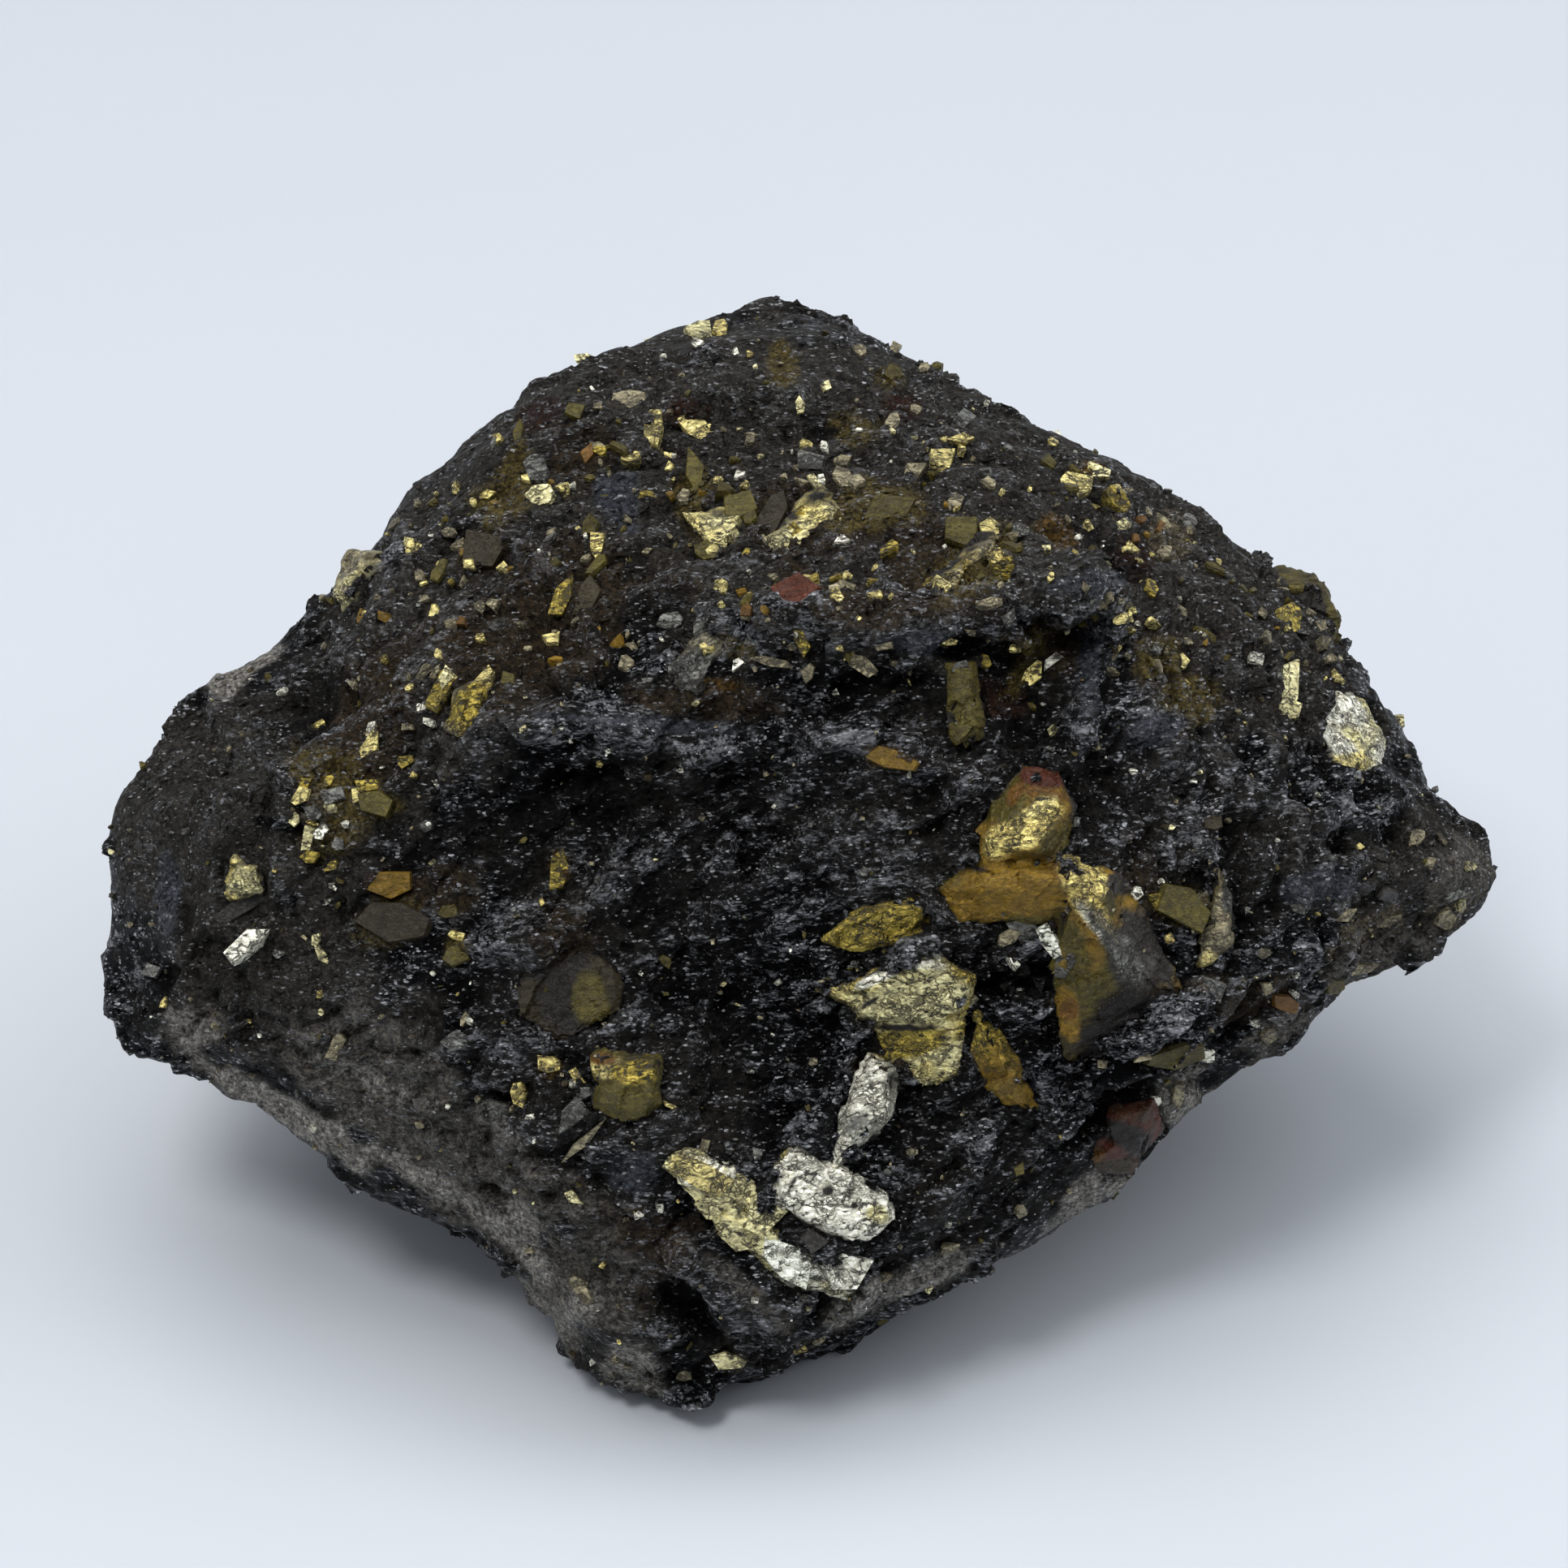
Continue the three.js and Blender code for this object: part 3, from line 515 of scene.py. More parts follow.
def crests_and_hollows(points, facing):
    """How far the named crests and hollows raise or lower each point of the show face."""
    places = face_places(points)[:, :2]
    places = places + CREST_WANDER * np.stack([layered_noise(points, 2, 81), layered_noise(points, 2, 91)], 1)
    height = np.zeros(len(points))
    for rise, width, line in CRESTS:
        height = np.maximum(height, rise * np.exp(-(distance_to_line(places, line) / width) ** 2))
    depths = spot_depths(points, places, [hollow[1:] for hollow in HOLLOWS])
    for (drop, *_), depth in zip(HOLLOWS, depths):
        height -= drop * depth
    return CREST_GAIN * height * np.clip(3 * facing, 0, 1)


def under_crystals(points, directions):
    """Lowers the points that stand over a crystal to just under its face, but for a ragged edge."""
    crystals = crystal_surface(CRYSTAL_SPREAD)
    ragged = layered_noise(points, 0.8, 101)
    for k, (point, inward) in enumerate(zip(points * MM, -directions)):
        start = Vector(point - inward * OVERHANG * MM)
        hit, face, _, _ = crystals.ray_cast(start, Vector(inward), 2 * OVERHANG * MM)
        if hit is None:
            continue
        steep = -np.array(face) @ inward < RAGGED_SLOPE
        if not (steep and ragged[k] > 0):
            points[k] = np.array(hit) / MM + inward * CLEARANCE
    return points


class Rock:
    """The whole rock's mesh, with the smooth direction and how raised it is, from 0 to 1, at each point."""

    def __init__(self):
        self.mesh = remeshed("rock", closed_lump(), ROCK_VOXEL)
        relax(self.mesh, RELAX_ROUNDS)
        smooth = points_of(self.mesh)
        self.directions = normals_of(self.mesh)
        facing = self.directions @ OUT
        height = broken_surface(smooth, facing) + crests_and_hollows(smooth, facing)
        # The rise also places painted sheen and glints on crests, and keeps hollows black, in the rock's
        # finish.
        self.rise = np.clip(0.5 + height / RISE_RANGE, 0, 1)
        points = under_crystals(smooth + self.directions * height[:, None], self.directions)
        resting = smooth[:, 2] < REST_HEIGHT
        points[:, 2] = np.clip(points[:, 2], 0, np.where(resting, REST_HEIGHT, np.inf))
        move_points(self.mesh, points)
        self.points = points
        self.triangles = triangles_of(self.mesh)

    def scattered(self, count, rng, where=None):
        """Places spread evenly over the rock at random, with the smooth direction and the rise at each."""
        triangles = self.triangles if where is None else self.triangles[where[self.triangles].all(1)]
        a, b, c = (self.points[triangles[:, k]] for k in range(3))
        area = np.linalg.norm(np.cross(b - a, c - a), axis=1)
        corners = triangles[rng.choice(len(triangles), count, p=area / area.sum())]
        weights = rng.dirichlet((1, 1, 1), count)
        places = (self.points[corners] * weights[:, :, None]).sum(1)
        directions = unit((self.directions[corners] * weights[:, :, None]).sum(1))
        return places, directions, (self.rise[corners] * weights).sum(1)


def unit(vectors):
    return vectors / np.linalg.norm(vectors, axis=1)[:, None]


def rock_part(name, rock, faces):
    """Some faces of the whole rock as a piece of its own, shaded as part of the whole."""
    kept, numbers = np.unique(faces, return_inverse=True)
    part = mesh_from(name, rock.points[kept], numbers.reshape(-1, 4).tolist())
    colours, cover = stained(rock.points[kept], rock.directions[kept] @ OUT)
    set_colour(part, "stain", colours)
    set_attribute(part, "cover", cover)
    set_attribute(part, "rise", rock.rise[kept])
    part.shade_smooth()
    part.normals_split_custom_set_from_vertices(normals_of(rock.mesh)[kept].tolist())
    return link(name, part)


def split_rock(rock):
    """The rock in two pieces, the show side and the rest, that meet edge to edge."""
    faces = squares_of(rock.mesh)
    outward = (rock.points[faces].mean(1) - HEART) @ OUT
    shown = outward > np.median(outward)
    sides = {"rock_shown": shown, "rock_hidden": ~shown}
    return [rock_part(name, rock, faces[side]) for name, side in sides.items()]


# Flakes: the countless small plates that the broken rock is made of

FLAKE_COUNT = 30000
FLAKE_RIM = 0.6  # they thin out near the rim as seen, where less than this of the direction is along OUT
FLAKE_THINNING = 2.5
FLAKE_FOOT = 0.6  # none lie lower than this
FLAKE_LENGTH = (0.15, 0.65)
FLAKE_WIDTH = (0.3, 0.75)  # as a share of the length
FLAKE_REACH = (0.25, 0.55)  # of each corner from the middle, as a share of the length or width
FLAKE_TILT = 0.2
FLAKE_TURN = 0.3
FLAKE_LIFT = 0.08  # the face is this much over the rock, and the tip this deep, as shares of the width
FLAKE_DEPTH = 0.6
FLAKE_FACES = [[0, 1, 2, 3], [1, 0, 4], [2, 1, 4], [3, 2, 4], [0, 3, 4]]
FLAKE_POINTS = 5


def flake_places(rock, rng):
    """Places for the flakes, with the smooth direction and the rise at each."""
    places, facing, rise = rock.scattered(FLAKE_COUNT, rng)
    bare = rng.random(FLAKE_COUNT) < FLAKE_THINNING * np.clip(1 - abs(facing @ OUT) / FLAKE_RIM, 0, 1)
    kept = (places[:, 2] > FLAKE_FOOT) & ~bare
    return places[kept], facing[kept], rise[kept]


def flake_axes(facing, rng):
    """Each flake's normal, and its directions along the rock's grain and aside from it."""
    count = len(facing)
    normal = unit(facing + rng.normal(0, FLAKE_TILT, (count, 3)))
    along = unit(np.cross(normal, np.cross(STREAK, normal)) + rng.normal(0, FLAKE_TURN, (count, 3)))
    along = unit(along - normal * (along * normal).sum(1)[:, None])
    return normal, along, np.cross(normal, along)


def flake_points(places, facing, rng):
    """The four corners of each flake's face and the tip that is sunk in the rock."""
    count = len(places)
    normal, along, aside = flake_axes(facing, rng)
    length = rng.uniform(*FLAKE_LENGTH, count) * rng.uniform(0.5, 1, count)
    width = length * rng.uniform(*FLAKE_WIDTH, count)
    points = []
    for x, y in ((-1, -1), (1, -1), (1, 1), (-1, 1)):
        reach = rng.uniform(*FLAKE_REACH, (count, 2))
        corner = places + along * (x * reach[:, 0] * length)[:, None]
        corner = corner + aside * (y * reach[:, 1] * width)[:, None]
        points.append(corner + normal * (FLAKE_LIFT * width)[:, None])
    points.append(places - normal * (FLAKE_DEPTH * width)[:, None])
    return np.stack(points, 1).reshape(-1, 3)


def make_flakes(rock, rng):
    places, facing, rise = flake_places(rock, rng)
    points = flake_points(places, facing, rng)
    firsts = range(0, len(points), FLAKE_POINTS)
    faces = [[first + corner for corner in face] for first in firsts for face in FLAKE_FACES]
    mesh = mesh_from("flakes", points, faces)
    colours, cover = stained(places, facing @ OUT)
    cover = cover * rng.uniform(0.5, 1, len(places))
    # The flakes' rise places painted sheen and glints on them too.
    rise = np.clip(rise + rng.uniform(-0.2, 0.2, len(places)), 0, 1)
    set_colour(mesh, "stain", np.repeat(colours, FLAKE_POINTS, 0))
    set_attribute(mesh, "cover", np.repeat(cover, FLAKE_POINTS))
    set_attribute(mesh, "rise", np.repeat(rise, FLAKE_POINTS))
    return link("flakes", mesh)


# Crystals

TINTS = {
    "silver": (0.84, 0.815, 0.66),
    "pale": (0.64, 0.58, 0.30),
    "gold": (0.60, 0.48, 0.16),
    "yellow": (0.68, 0.57, 0.22),
    "scale": (0.28, 0.215, 0.04),
    "olive": (0.092, 0.074, 0.013),
    "amber": (0.23, 0.135, 0.012),
    "rust": (0.15, 0.07, 0.01),
    "garnet": (0.080, 0.018, 0.006),
    "tan": (0.27, 0.235, 0.145),
    "grey": (0.13, 0.13, 0.115),
    # A dark slate grey, a crystal's own tint.
    "slate": (0.050, 0.046, 0.040),
    "brown": (0.032, 0.023, 0.008),
    "dark": (0.014, 0.012, 0.010),
}
# How metallic each tint is.
METALS = {
    "silver": 0.4, "pale": 0.4, "gold": 0.55, "yellow": 0.4, "scale": 0.5, "olive": 0.15, "amber": 0.1,
    "rust": 0.1, "garnet": 0.1, "tan": 0.35, "grey": 0.4, "slate": 0.3, "brown": 0.1, "dark": 0.2,
}
# For each crystal, its tint and its second tint.
CRYSTAL_LOOKS = {
    "wedge_cluster": ("olive", "amber"),
    "scale_blade": ("scale", "scale"),
    "pale_rhomb": ("pale", "scale"),
    "silver_blade": ("grey", "silver"),
    "olive_tooth": ("amber", "scale"),
    "silver_plate": ("silver", "silver"),
    "gold_band": ("silver", "pale"),
    "green_block": ("olive", "olive"),
    "brown_tablet": ("dark", "brown"),
    "left_rhomb": ("pale", "scale"),
    "grey_prism": ("tan", "grey"),
    "right_blade": ("tan", "olive"),
    "right_plate": ("pale", "silver"),
    "olive_bar": ("olive", "olive"),
    "upper_bar": ("tan", "scale"),
    "upper_chip": ("pale", "yellow"),
    "upper_left_chip": ("yellow", "pale"),
    "shoulder_shard": ("tan", "scale"),
    "rim_lump": ("garnet", "brown"),
    "back_cube": ("pale", "gold"),
    "back_blade": ("gold", "scale"),
    "left_end_chip": ("pale", "tan"),
    "right_end_chip": ("brown", "olive"),
}
# Parts of the large crystals with a colour of their own: tint, across, up, length, width, angle.
CRYSTAL_SPOTS = rows_of("""
    garnet 10.1 3.4 2.2 0.8 -10; rust 10.2 2.7 2 0.4 -10; rust 9 2.7 1 0.6 60; gold 9.7 1.5 2.6 1.3 35;
    yellow 9.9 2.1 1.7 0.5 25; gold 8.2 0.6 1 1.2; amber 8.8 -1.3 5 2.2 8; rust 11.4 -0.4 1.4 1.2;
    slate 12.1 1.6 1.3 3 15; gold 11.9 -0.6 2.2 1.4 -50; gold 12.4 -2.4 3.6 1 -50;
    silver 12.9 -3.4 3.6 0.6 -50; slate 14.2 -3.9 4.8 2.8 -62; olive 11.8 -5 1.7 5 12;
    grey 13.2 -3.5 4.4 1 -52; tan 12.7 -2.7 1.6 0.4 -52; dark 13.4 -6.6 5 2.1 28;
    amber 11.2 -6.4 0.9 2 12; dark 13.5 -11.3 2 1 -30; dark 4 -11.4 3 0.7 62;
    rust 12.3 -12.2 0.7 0.5 30; dark 3.6 -8 2.2 0.2 -20; dark 5.2 -7.3 2.6 0.15 15;
    rust 11.3 -6.2 0.7 0.8; olive -8.5 -5.9 1.5 1.8; slate 13.4 -1 1.4 1 -60;
    silver 1.9 -7 1.8 0.5 -30; silver 5.4 -4.3 1.4 0.35 -12; silver 3.2 -4.9 1.6 0.4 25;
    yellow 5.4 -8.6 0.9 0.9; scale 4.6 -7.6 3.4 1.2 10; pale 6 -5.4 2 1.6; silver -0.3 -12.6 1.5 0.9;
    pale 3.4 -14.6 1 0.8 -30; yellow -0.8 -12.1 1 0.5 40; silver 1.4 -16.9 2.2 1.1 -20;
    yellow -4.4 -12.6 1.6 0.9; pale -2.6 -14.2 2.4 2.4 35; tan 17.6 -2.4 0.6 2.6; yellow 17 -4.2 0.8 1;
    grey 17.9 -1.2 0.7 1.4; silver 22.6 6 1.6 1.2; yellow 22.7 4 1.7 0.7; yellow -7.9 -8.5 1.2 0.9;
    scale -6.6 -8.8 1.8 0.8; dark 0.2 -15 2.6 0.5 -28; dark 1.3 -13.6 0.4 0.4;
    dark 2.4 -14.2 0.4 0.3 30; dark -0.2 -13.4 0.8 0.15 60; dark 2.2 -7.3 1.4 0.4 -35;
    dark 4.6 -6.9 2.4 0.25; dark 3 -5.9 0.8 0.2 30; dark 9.2 -2.9 1 0.35 10; dark 7.2 -0.3 1.4 0.2 -15;
    rust -8 -8.2 1 0.5
""")
# A crystal is bare and dark where it turns away from the direction that it faces, with a ragged edge.
SIDE_TINT = np.array([0.012, 0.010, 0.008])
SIDE_SLOPE = 0.2
SIDE_EDGE = 0.25
SIDE_WANDER = 0.25
SIDE_WANDER_SIZE = 0.6
TINT_CONTRAST = 1.3
TINT_SIZE = 1.6
# Its face is broken into steps and smaller chips, each with a height and a size.
STEP_RISE, STEP_SIZE = 0.15, 1.2
CHIP_RISE, CHIP_SIZE = 0.09, 0.45
JAG_SIZE = 0.7


def finish_of(mesh, looks, salt, shown):
    """Writes the tint and the metal share at each point of a crystal, dark where it isn't shown."""
    first, second = looks
    points = points_of(mesh)
    blend = np.clip(0.5 + TINT_CONTRAST * layered_noise(points, TINT_SIZE, salt), 0, 1)[:, None]
    colours = np.array(TINTS[first]) * (1 - blend) + np.array(TINTS[second]) * blend
    metal = METALS[first] * (1 - blend) + METALS[second] * blend
    depths = spot_depths(points, face_places(points), [spot[1:] for spot in CRYSTAL_SPOTS])
    for (tint, *_), depth in zip(CRYSTAL_SPOTS, depths):
        depth = depth[:, None]
        colours = colours * (1 - depth) + np.array(TINTS[tint]) * depth
        metal = metal * (1 - depth) + METALS[tint] * depth
    colours = colours * shown[:, None] + SIDE_TINT * (1 - shown[:, None])
    metal = metal * shown[:, None]
    set_colour(mesh, "tint", colours)
    set_attribute(mesh, "metal", metal[:, 0])


def make_crystal(node, salt):
    """A crystal made from its own solid, with a stepped face, a jagged outline and dark sides."""
    name = node + "_fine"
    mesh = remeshed(name, crystal_mesh(node, CRYSTAL_SPREAD), CRYSTAL_VOXEL)
    smooth = points_of(mesh)
    facing = normals_of(mesh) @ facing_of(smooth.mean(0))
    ragged = SIDE_WANDER * layered_noise(smooth, SIDE_WANDER_SIZE, salt + 9)
    shown = np.clip((facing + ragged - SIDE_SLOPE) / SIDE_EDGE, 0, 1)
    steps = STEP_RISE * chips(smooth @ GRAIN_AXES, STEP_SIZE, salt)
    steps = steps + CHIP_RISE * chips(smooth, CHIP_SIZE, salt + 3)
    jags = np.stack([layered_noise(smooth, JAG_SIZE, salt + k) for k in (11, 12, 13)], 1)
    jags -= OUT * (jags @ OUT)[:, None]
    move_points(mesh, smooth + normals_of(mesh) * steps[:, None] + CRYSTAL_JAGS * jags)
    finish_of(mesh, CRYSTAL_LOOKS[node], salt + 7, shown)
    return link(name, mesh)


# Flecks

# The small crystals, by where they are seen: tint, across, up, length, width and angle.
FLECK_AREAS = {
    "the top": """
        pale -4 21.6 1 0.7; gold -3.1 21.7 0.6 0.6; silver -4 21.1 0.5 0.4; silver -2.5 20.8 0.3 0.3;
        gold -1.9 20.7 0.3 0.25; tan 2.6 20.8 0.5 0.5; tan 4 20.9 0.7 0.4 -30; olive 3.9 19.9 0.8 0.6;
        tan 5.2 20.1 0.4 0.4; pale 0.2 18.6 0.7 0.35 80; tan 4.9 18.4 0.4 0.4; tan 3.9 17.9 0.6 0.5 40;
        grey 6.9 18 0.7 0.6; silver 1.2 16.9 0.3 0.3; tan -1.9 17.1 0.35 0.3
    """,
    "the upper slope, from the left": """
        yellow -5.8 17.6 1.4 0.75 80; yellow -3.9 17.5 1.6 1.2 -50; tan -6.9 18.7 1.2 0.7 10;
        tan -8.1 18.5 0.4 0.4; olive -9 18.3 0.8 0.6; olive -11.4 17.5 1 0.4 80; grey -10.6 15.9 1 1;
        pale -10.5 14.9 1.2 0.8; rust -8.6 16.6 0.8 0.45 70; gold -12.7 14.9 0.95 0.3 25;
        gold -8.1 12.7 1.4 0.65 -80; olive -8.4 13.7 1 0.6 80; olive -4.2 15.8 1.8 0.65 88;
        tan -4.6 14.8 0.5 0.45; olive -2.4 14.2 1.4 1 10; brown -1 14 2 0.8 60;
        pale 1.1 14.9 1.7 0.35 -55; silver 1 15.5 0.4 0.35; grey 0.6 16.2 1.2 1; tan 1.9 16.3 0.7 0.6;
        tan 2 15.5 1 0.7 -40; olive 3.9 14.3 1.9 1 5; yellow 6 16.3 1.1 0.9; tan 4.9 15.8 0.9 0.8;
        yellow 6.7 17.2 1 0.45; tan 6.5 14.6 0.7 0.6; olive 6.8 13.3 1.3 1.1; yellow 8 13.3 0.9 0.8;
        gold 8.3 12.4 0.5 0.6; scale -9.6 10.7 1.7 0.7 70; brown -8.5 10.7 1.5 0.8 70;
        brown -12.8 12.7 2 1.5; tan -12.4 10.4 0.5 0.5; rust -13.7 9.7 0.5 0.4; gold -12.9 9 0.4 0.4;
        grey -5.2 9.7 1 0.6 20; silver -2.4 8 0.8 0.4 50; rust -2 10.2 0.5 0.4 60;
        scale 0.2 9 2 0.45 -62; tan -1 8.1 1.6 0.3 -10; garnet 0 11 1.8 1; silver -2.3 15.7 0.45 0.4;
        tan -14.2 13.4 0.5 0.4 30; tan -15.4 11.6 0.4 0.35; olive -14.6 11.8 0.9 0.4 60;
        yellow -13.4 12 0.5 0.5; gold -12.2 17.2 0.5 0.4 60; tan -6.1 12.6 0.4 0.3
    """,
    "the right shoulder": """
        yellow 11.3 15.2 1.35 0.9 -10; pale 12.3 15.8 1.1 0.5 -20; olive 10.3 16.2 0.7 0.5;
        scale 13.1 14.7 1.1 0.6 -50; pale 13.3 13.6 0.7 0.5 20; rust 13.9 13.1 0.4 0.3 -50;
        rust 14.1 13.9 0.35 0.3; rust 14.9 13.6 0.45 0.25 70; grey 16.1 13.8 0.6 0.6;
        tan 15.1 12.5 0.6 0.5; pale 10.3 12.7 0.35 0.3; silver 8.1 12.7 0.25 0.25;
        grey 9.1 13.6 0.4 0.25; tan 19.9 11.3 0.5 0.4 -20; scale 20.1 9.8 1.2 0.8 80;
        grey 20.7 9.4 0.6 0.5; silver 18.9 8.2 0.8 0.5 -20; tan 21.7 8.8 0.8 0.5 -60;
        pale 20.1 6.9 2.3 0.8 85; pale 20.2 6.1 1 0.7 80; gold 9.7 7.6 1.1 0.6 60;
        silver 10.5 8.1 0.8 0.35 40; tan 16 8.9 0.4 0.3; tan 13.6 8.3 0.3 0.25;
        silver 13.8 3.6 0.3 0.25; silver 16.3 3.2 0.25 0.2; tan 22 8.2 0.7 0.3
    """,
    "the right end": """
        olive 15.8 -1.9 2.1 1.5 -20; scale 14.8 -1.7 0.9 0.5 -60; silver 13.9 -1.4 0.4 0.5;
        brown 17 1.5 0.7 0.6; tan 17.7 1.6 0.35 0.3; pale 15.4 1.3 0.25 0.2;
        yellow 23.1 0.5 0.3 0.25 -30; tan 25.4 0.8 0.65 0.6; tan 26 -0.2 0.45 0.45;
        pale 27.6 -0.3 0.4 0.35; grey 27 -1.4 0.7 0.5 -20; tan 26.6 -2.4 0.9 0.6 50;
        tan 24.2 -2.5 1.1 0.4 10; tan 22.6 -2.3 0.9 0.3 30; tan 23 -4.5 1.5 0.4 12;
        slate 24.2 -1.4 0.7 0.4 10; tan 19.1 -3.8 0.6 0.4; grey 17 -5.2 0.9 0.8 -20;
        tan 19.3 -5.2 0.6 0.4 -60; rust 20 -5.9 0.9 0.6 -10; olive 22 -5.2 0.6 0.5;
        silver 20.4 -5.5 0.3 0.25; silver 18.8 -6.7 0.35 0.3; olive 15.5 -8 2.2 0.8 10;
        silver 16.8 -8 0.5 0.5; tan 19.3 -7.2 0.6 0.5 20; tan 15.6 -9.6 0.9 0.5 80;
        silver 14.7 -9.9 0.4 0.35; tan 14.2 -8.1 0.6 0.3 20; grey 20.6 -2 0.5 0.4
    """,
    "the left end": """
        yellow -17.5 4.6 1.3 0.6 62; silver -17.4 5.4 0.5 0.3 60; scale -16 4 0.6 0.5;
        silver -15 5.6 0.5 0.3 -20; tan -15.9 5.4 0.4 0.3; silver -15.3 6.2 0.35 0.3;
        scale -14.6 6.8 1.7 0.9 62; pale -14.3 7.4 0.9 0.5 62; scale -20.2 3.1 0.7 0.4 60;
        scale -19.2 3.2 0.5 0.3 70; pale -20.6 1.6 0.6 0.4 80; grey -19.8 1.9 0.7 0.6;
        pale -19.1 2.1 0.5 0.4; silver -19.5 1.1 0.6 0.5 30; scale -19.9 0.1 0.6 0.4;
        grey -18.8 0.6 0.5 0.5; scale -19 -0.3 0.6 0.4 30; yellow -20.3 2.6 0.8 0.5 70;
        pale -20 0.9 0.9 0.5 80; scale -17.6 3 1 0.6; yellow -18 2.6 0.6 0.5 40;
        grey -19 2.6 0.8 0.5 20; silver -18.4 1.4 0.4 0.3; olive -17.2 2.2 1.3 1 -10;
        grey -15.1 1.4 0.5 0.4 40; slate -22.7 -1.9 2.3 0.9 35; silver -22.5 -3.5 1.7 0.75 40;
        pale -19.5 -3.9 0.9 0.35 -50; pale -19.7 -3.3 0.5 0.3 85; grey -26.4 -4.6 0.75 0.6 10;
        gold -25.9 -5.9 0.5 0.2 75; amber -16.6 -1 1.6 0.9; brown -16.5 -2.6 2.6 1.6 -5;
        gold -13.9 -3.1 0.65 0.35 -10; olive -14 -4 1 0.6 20; olive -14.2 -2.1 0.9 0.5;
        silver -19 -1.1 0.4 0.25 -30; silver -19.2 -1.7 0.3 0.2 50; gold -15.7 3.4 0.35 0.25;
        tan -20.2 -3.2 0.4 0.2 -40; grey -21.2 -3.9 0.5 0.3 20
    """,
    "the main face and the lower left face": """
        amber 3.9 4.1 2 0.7 -10; scale -9.7 -0.4 1.6 0.7 80; silver 5.7 -4 0.45 0.4;
        tan 0.7 -8.3 0.35 0.3; tan 4.7 -12 0.4 0.35; grey -1.6 -12.1 0.5 0.5;
        tan -3.8 -11.8 0.5 0.3 80; yellow -5.2 -10.1 0.55 0.25 -30; silver -9.1 -9.3 0.45 0.35;
        gold -10.1 -8.4 0.9 0.7; gold -9 -8.9 0.7 0.5 -30; grey -8.7 -9.6 0.6 0.5;
        grey -9.1 -10.5 1.4 0.9 40; grey -12.4 -10.3 1.1 0.8 10; tan -8.7 -11.5 2.3 0.35 45;
        gold -11.3 -9.6 0.5 0.9 10; silver -10.9 -10.6 0.4 0.3 30; pale -9.1 -13.9 0.9 0.4 -35;
        silver -6.5 -14.6 0.35 0.25 30; silver -5.6 -14.3 0.3 0.3; tan -8.8 -17.7 1.1 0.5 -60;
        tan -10.9 -16 0.35 0.3; silver -1.7 -18.1 0.3 0.25; pale -2.8 -20.6 1.4 0.6 -5;
        tan -4.6 -21.1 0.6 0.5; tan -6.9 -20.8 0.3 0.25; grey -6.2 -21.2 0.4 0.3;
        grey -14 -7.4 0.9 0.75 20; tan -18.8 -7.6 1.2 0.6 70; gold -7.9 -16.6 0.3 0.25;
        silver 7.5 -8.5 0.3 0.3; grey 9.5 -3 1.5 0.9 -40; silver 10.4 -3.3 1.3 0.5 -60;
        pale -2.4 -13.5 2.8 1.3 -28; yellow -3.8 -13 2 1 -20; pale -1.5 -14.6 1.7 1.5 -50;
        silver -0.4 -16.4 2.4 1.2 -40; silver 1.9 -16.9 2 1.2 10; pale -2.6 -15.3 1.8 0.8 -45;
        silver 2.4 -15.3 1.1 0.5 -20; slate 0.7 -15.6 0.9 0.7 -40; tan 8.7 -3.2 0.9 0.5 30;
        silver 8.9 -4.3 0.6 0.3 -40; grey 11.1 -4.2 1.3 0.6 60; tan 12.6 -8.4 0.4 0.3;
        tan 9.2 -14.4 0.5 0.3 20; tan 6.3 -15.9 0.8 0.3 24; tan 3.6 -17.1 0.7 0.3 20;
        silver -0.9 2.2 0.25 0.2; grey 2.4 -4.3 0.3 0.3
    """,
}
FLECKS = [fleck for area in FLECK_AREAS.values() for fleck in rows_of(area)]
FLECK_LIFT = 0.2
FLECK_GROWTH = 1.25  # makes up for the corners that the rock covers
FLECK_LEAN = 0.55  # how much a face leans towards the viewpoint
FLECK_TILT = 0.14
FLECK_HEIGHT = 0.1
FLECK_HEIGHT_GAIN = 0.08  # for each mm of width

# A small crystal is a face with a rim under it and a narrow root. Depths and widths are shares of its size.
SHARD_CORNERS = (4, 7)  # at least the first, and fewer than the second
SHARD_SKEW = 0.28
SHARD_REACH = (0.78, 1.12)
SHARD_TAPER = (0.88, 0.97)
SHARD_RISE = (0.7, 1.2)
SHARD_SHADES = (0.75, 1.25)
RIM_DEPTH = 0.1
ROOT_WIDTH = 0.6
ROOT_DEPTH = 1.3


def shard_rim(along, aside, rng):
    """The corners of a small crystal's rim, from its middle."""
    count = int(rng.integers(*SHARD_CORNERS))
    skew = rng.uniform(-SHARD_SKEW, SHARD_SKEW, count)
    turns = (np.arange(count) + skew) * 2 * math.pi / count + rng.uniform(0, 1)
    across, up = np.cos(turns), np.sin(turns)
    reach = rng.uniform(*SHARD_REACH, count) / np.maximum(abs(across), abs(up)) ** 0.5
    return along * (across * reach)[:, None] + aside * (up * reach)[:, None]


def shard_faces(first, count):
    """The faces over and between three rings of corners: the face's, the rim's and the root's."""
    low = first + 2 * count
    faces = [list(range(first, first + count)), list(range(low + count - 1, low - 1, -1))]
    for ring in (first, first + count):
        for k in range(count):
            after = (k + 1) % count
            faces.append([ring + k, ring + count + k, ring + count + after, ring + after])
    return faces


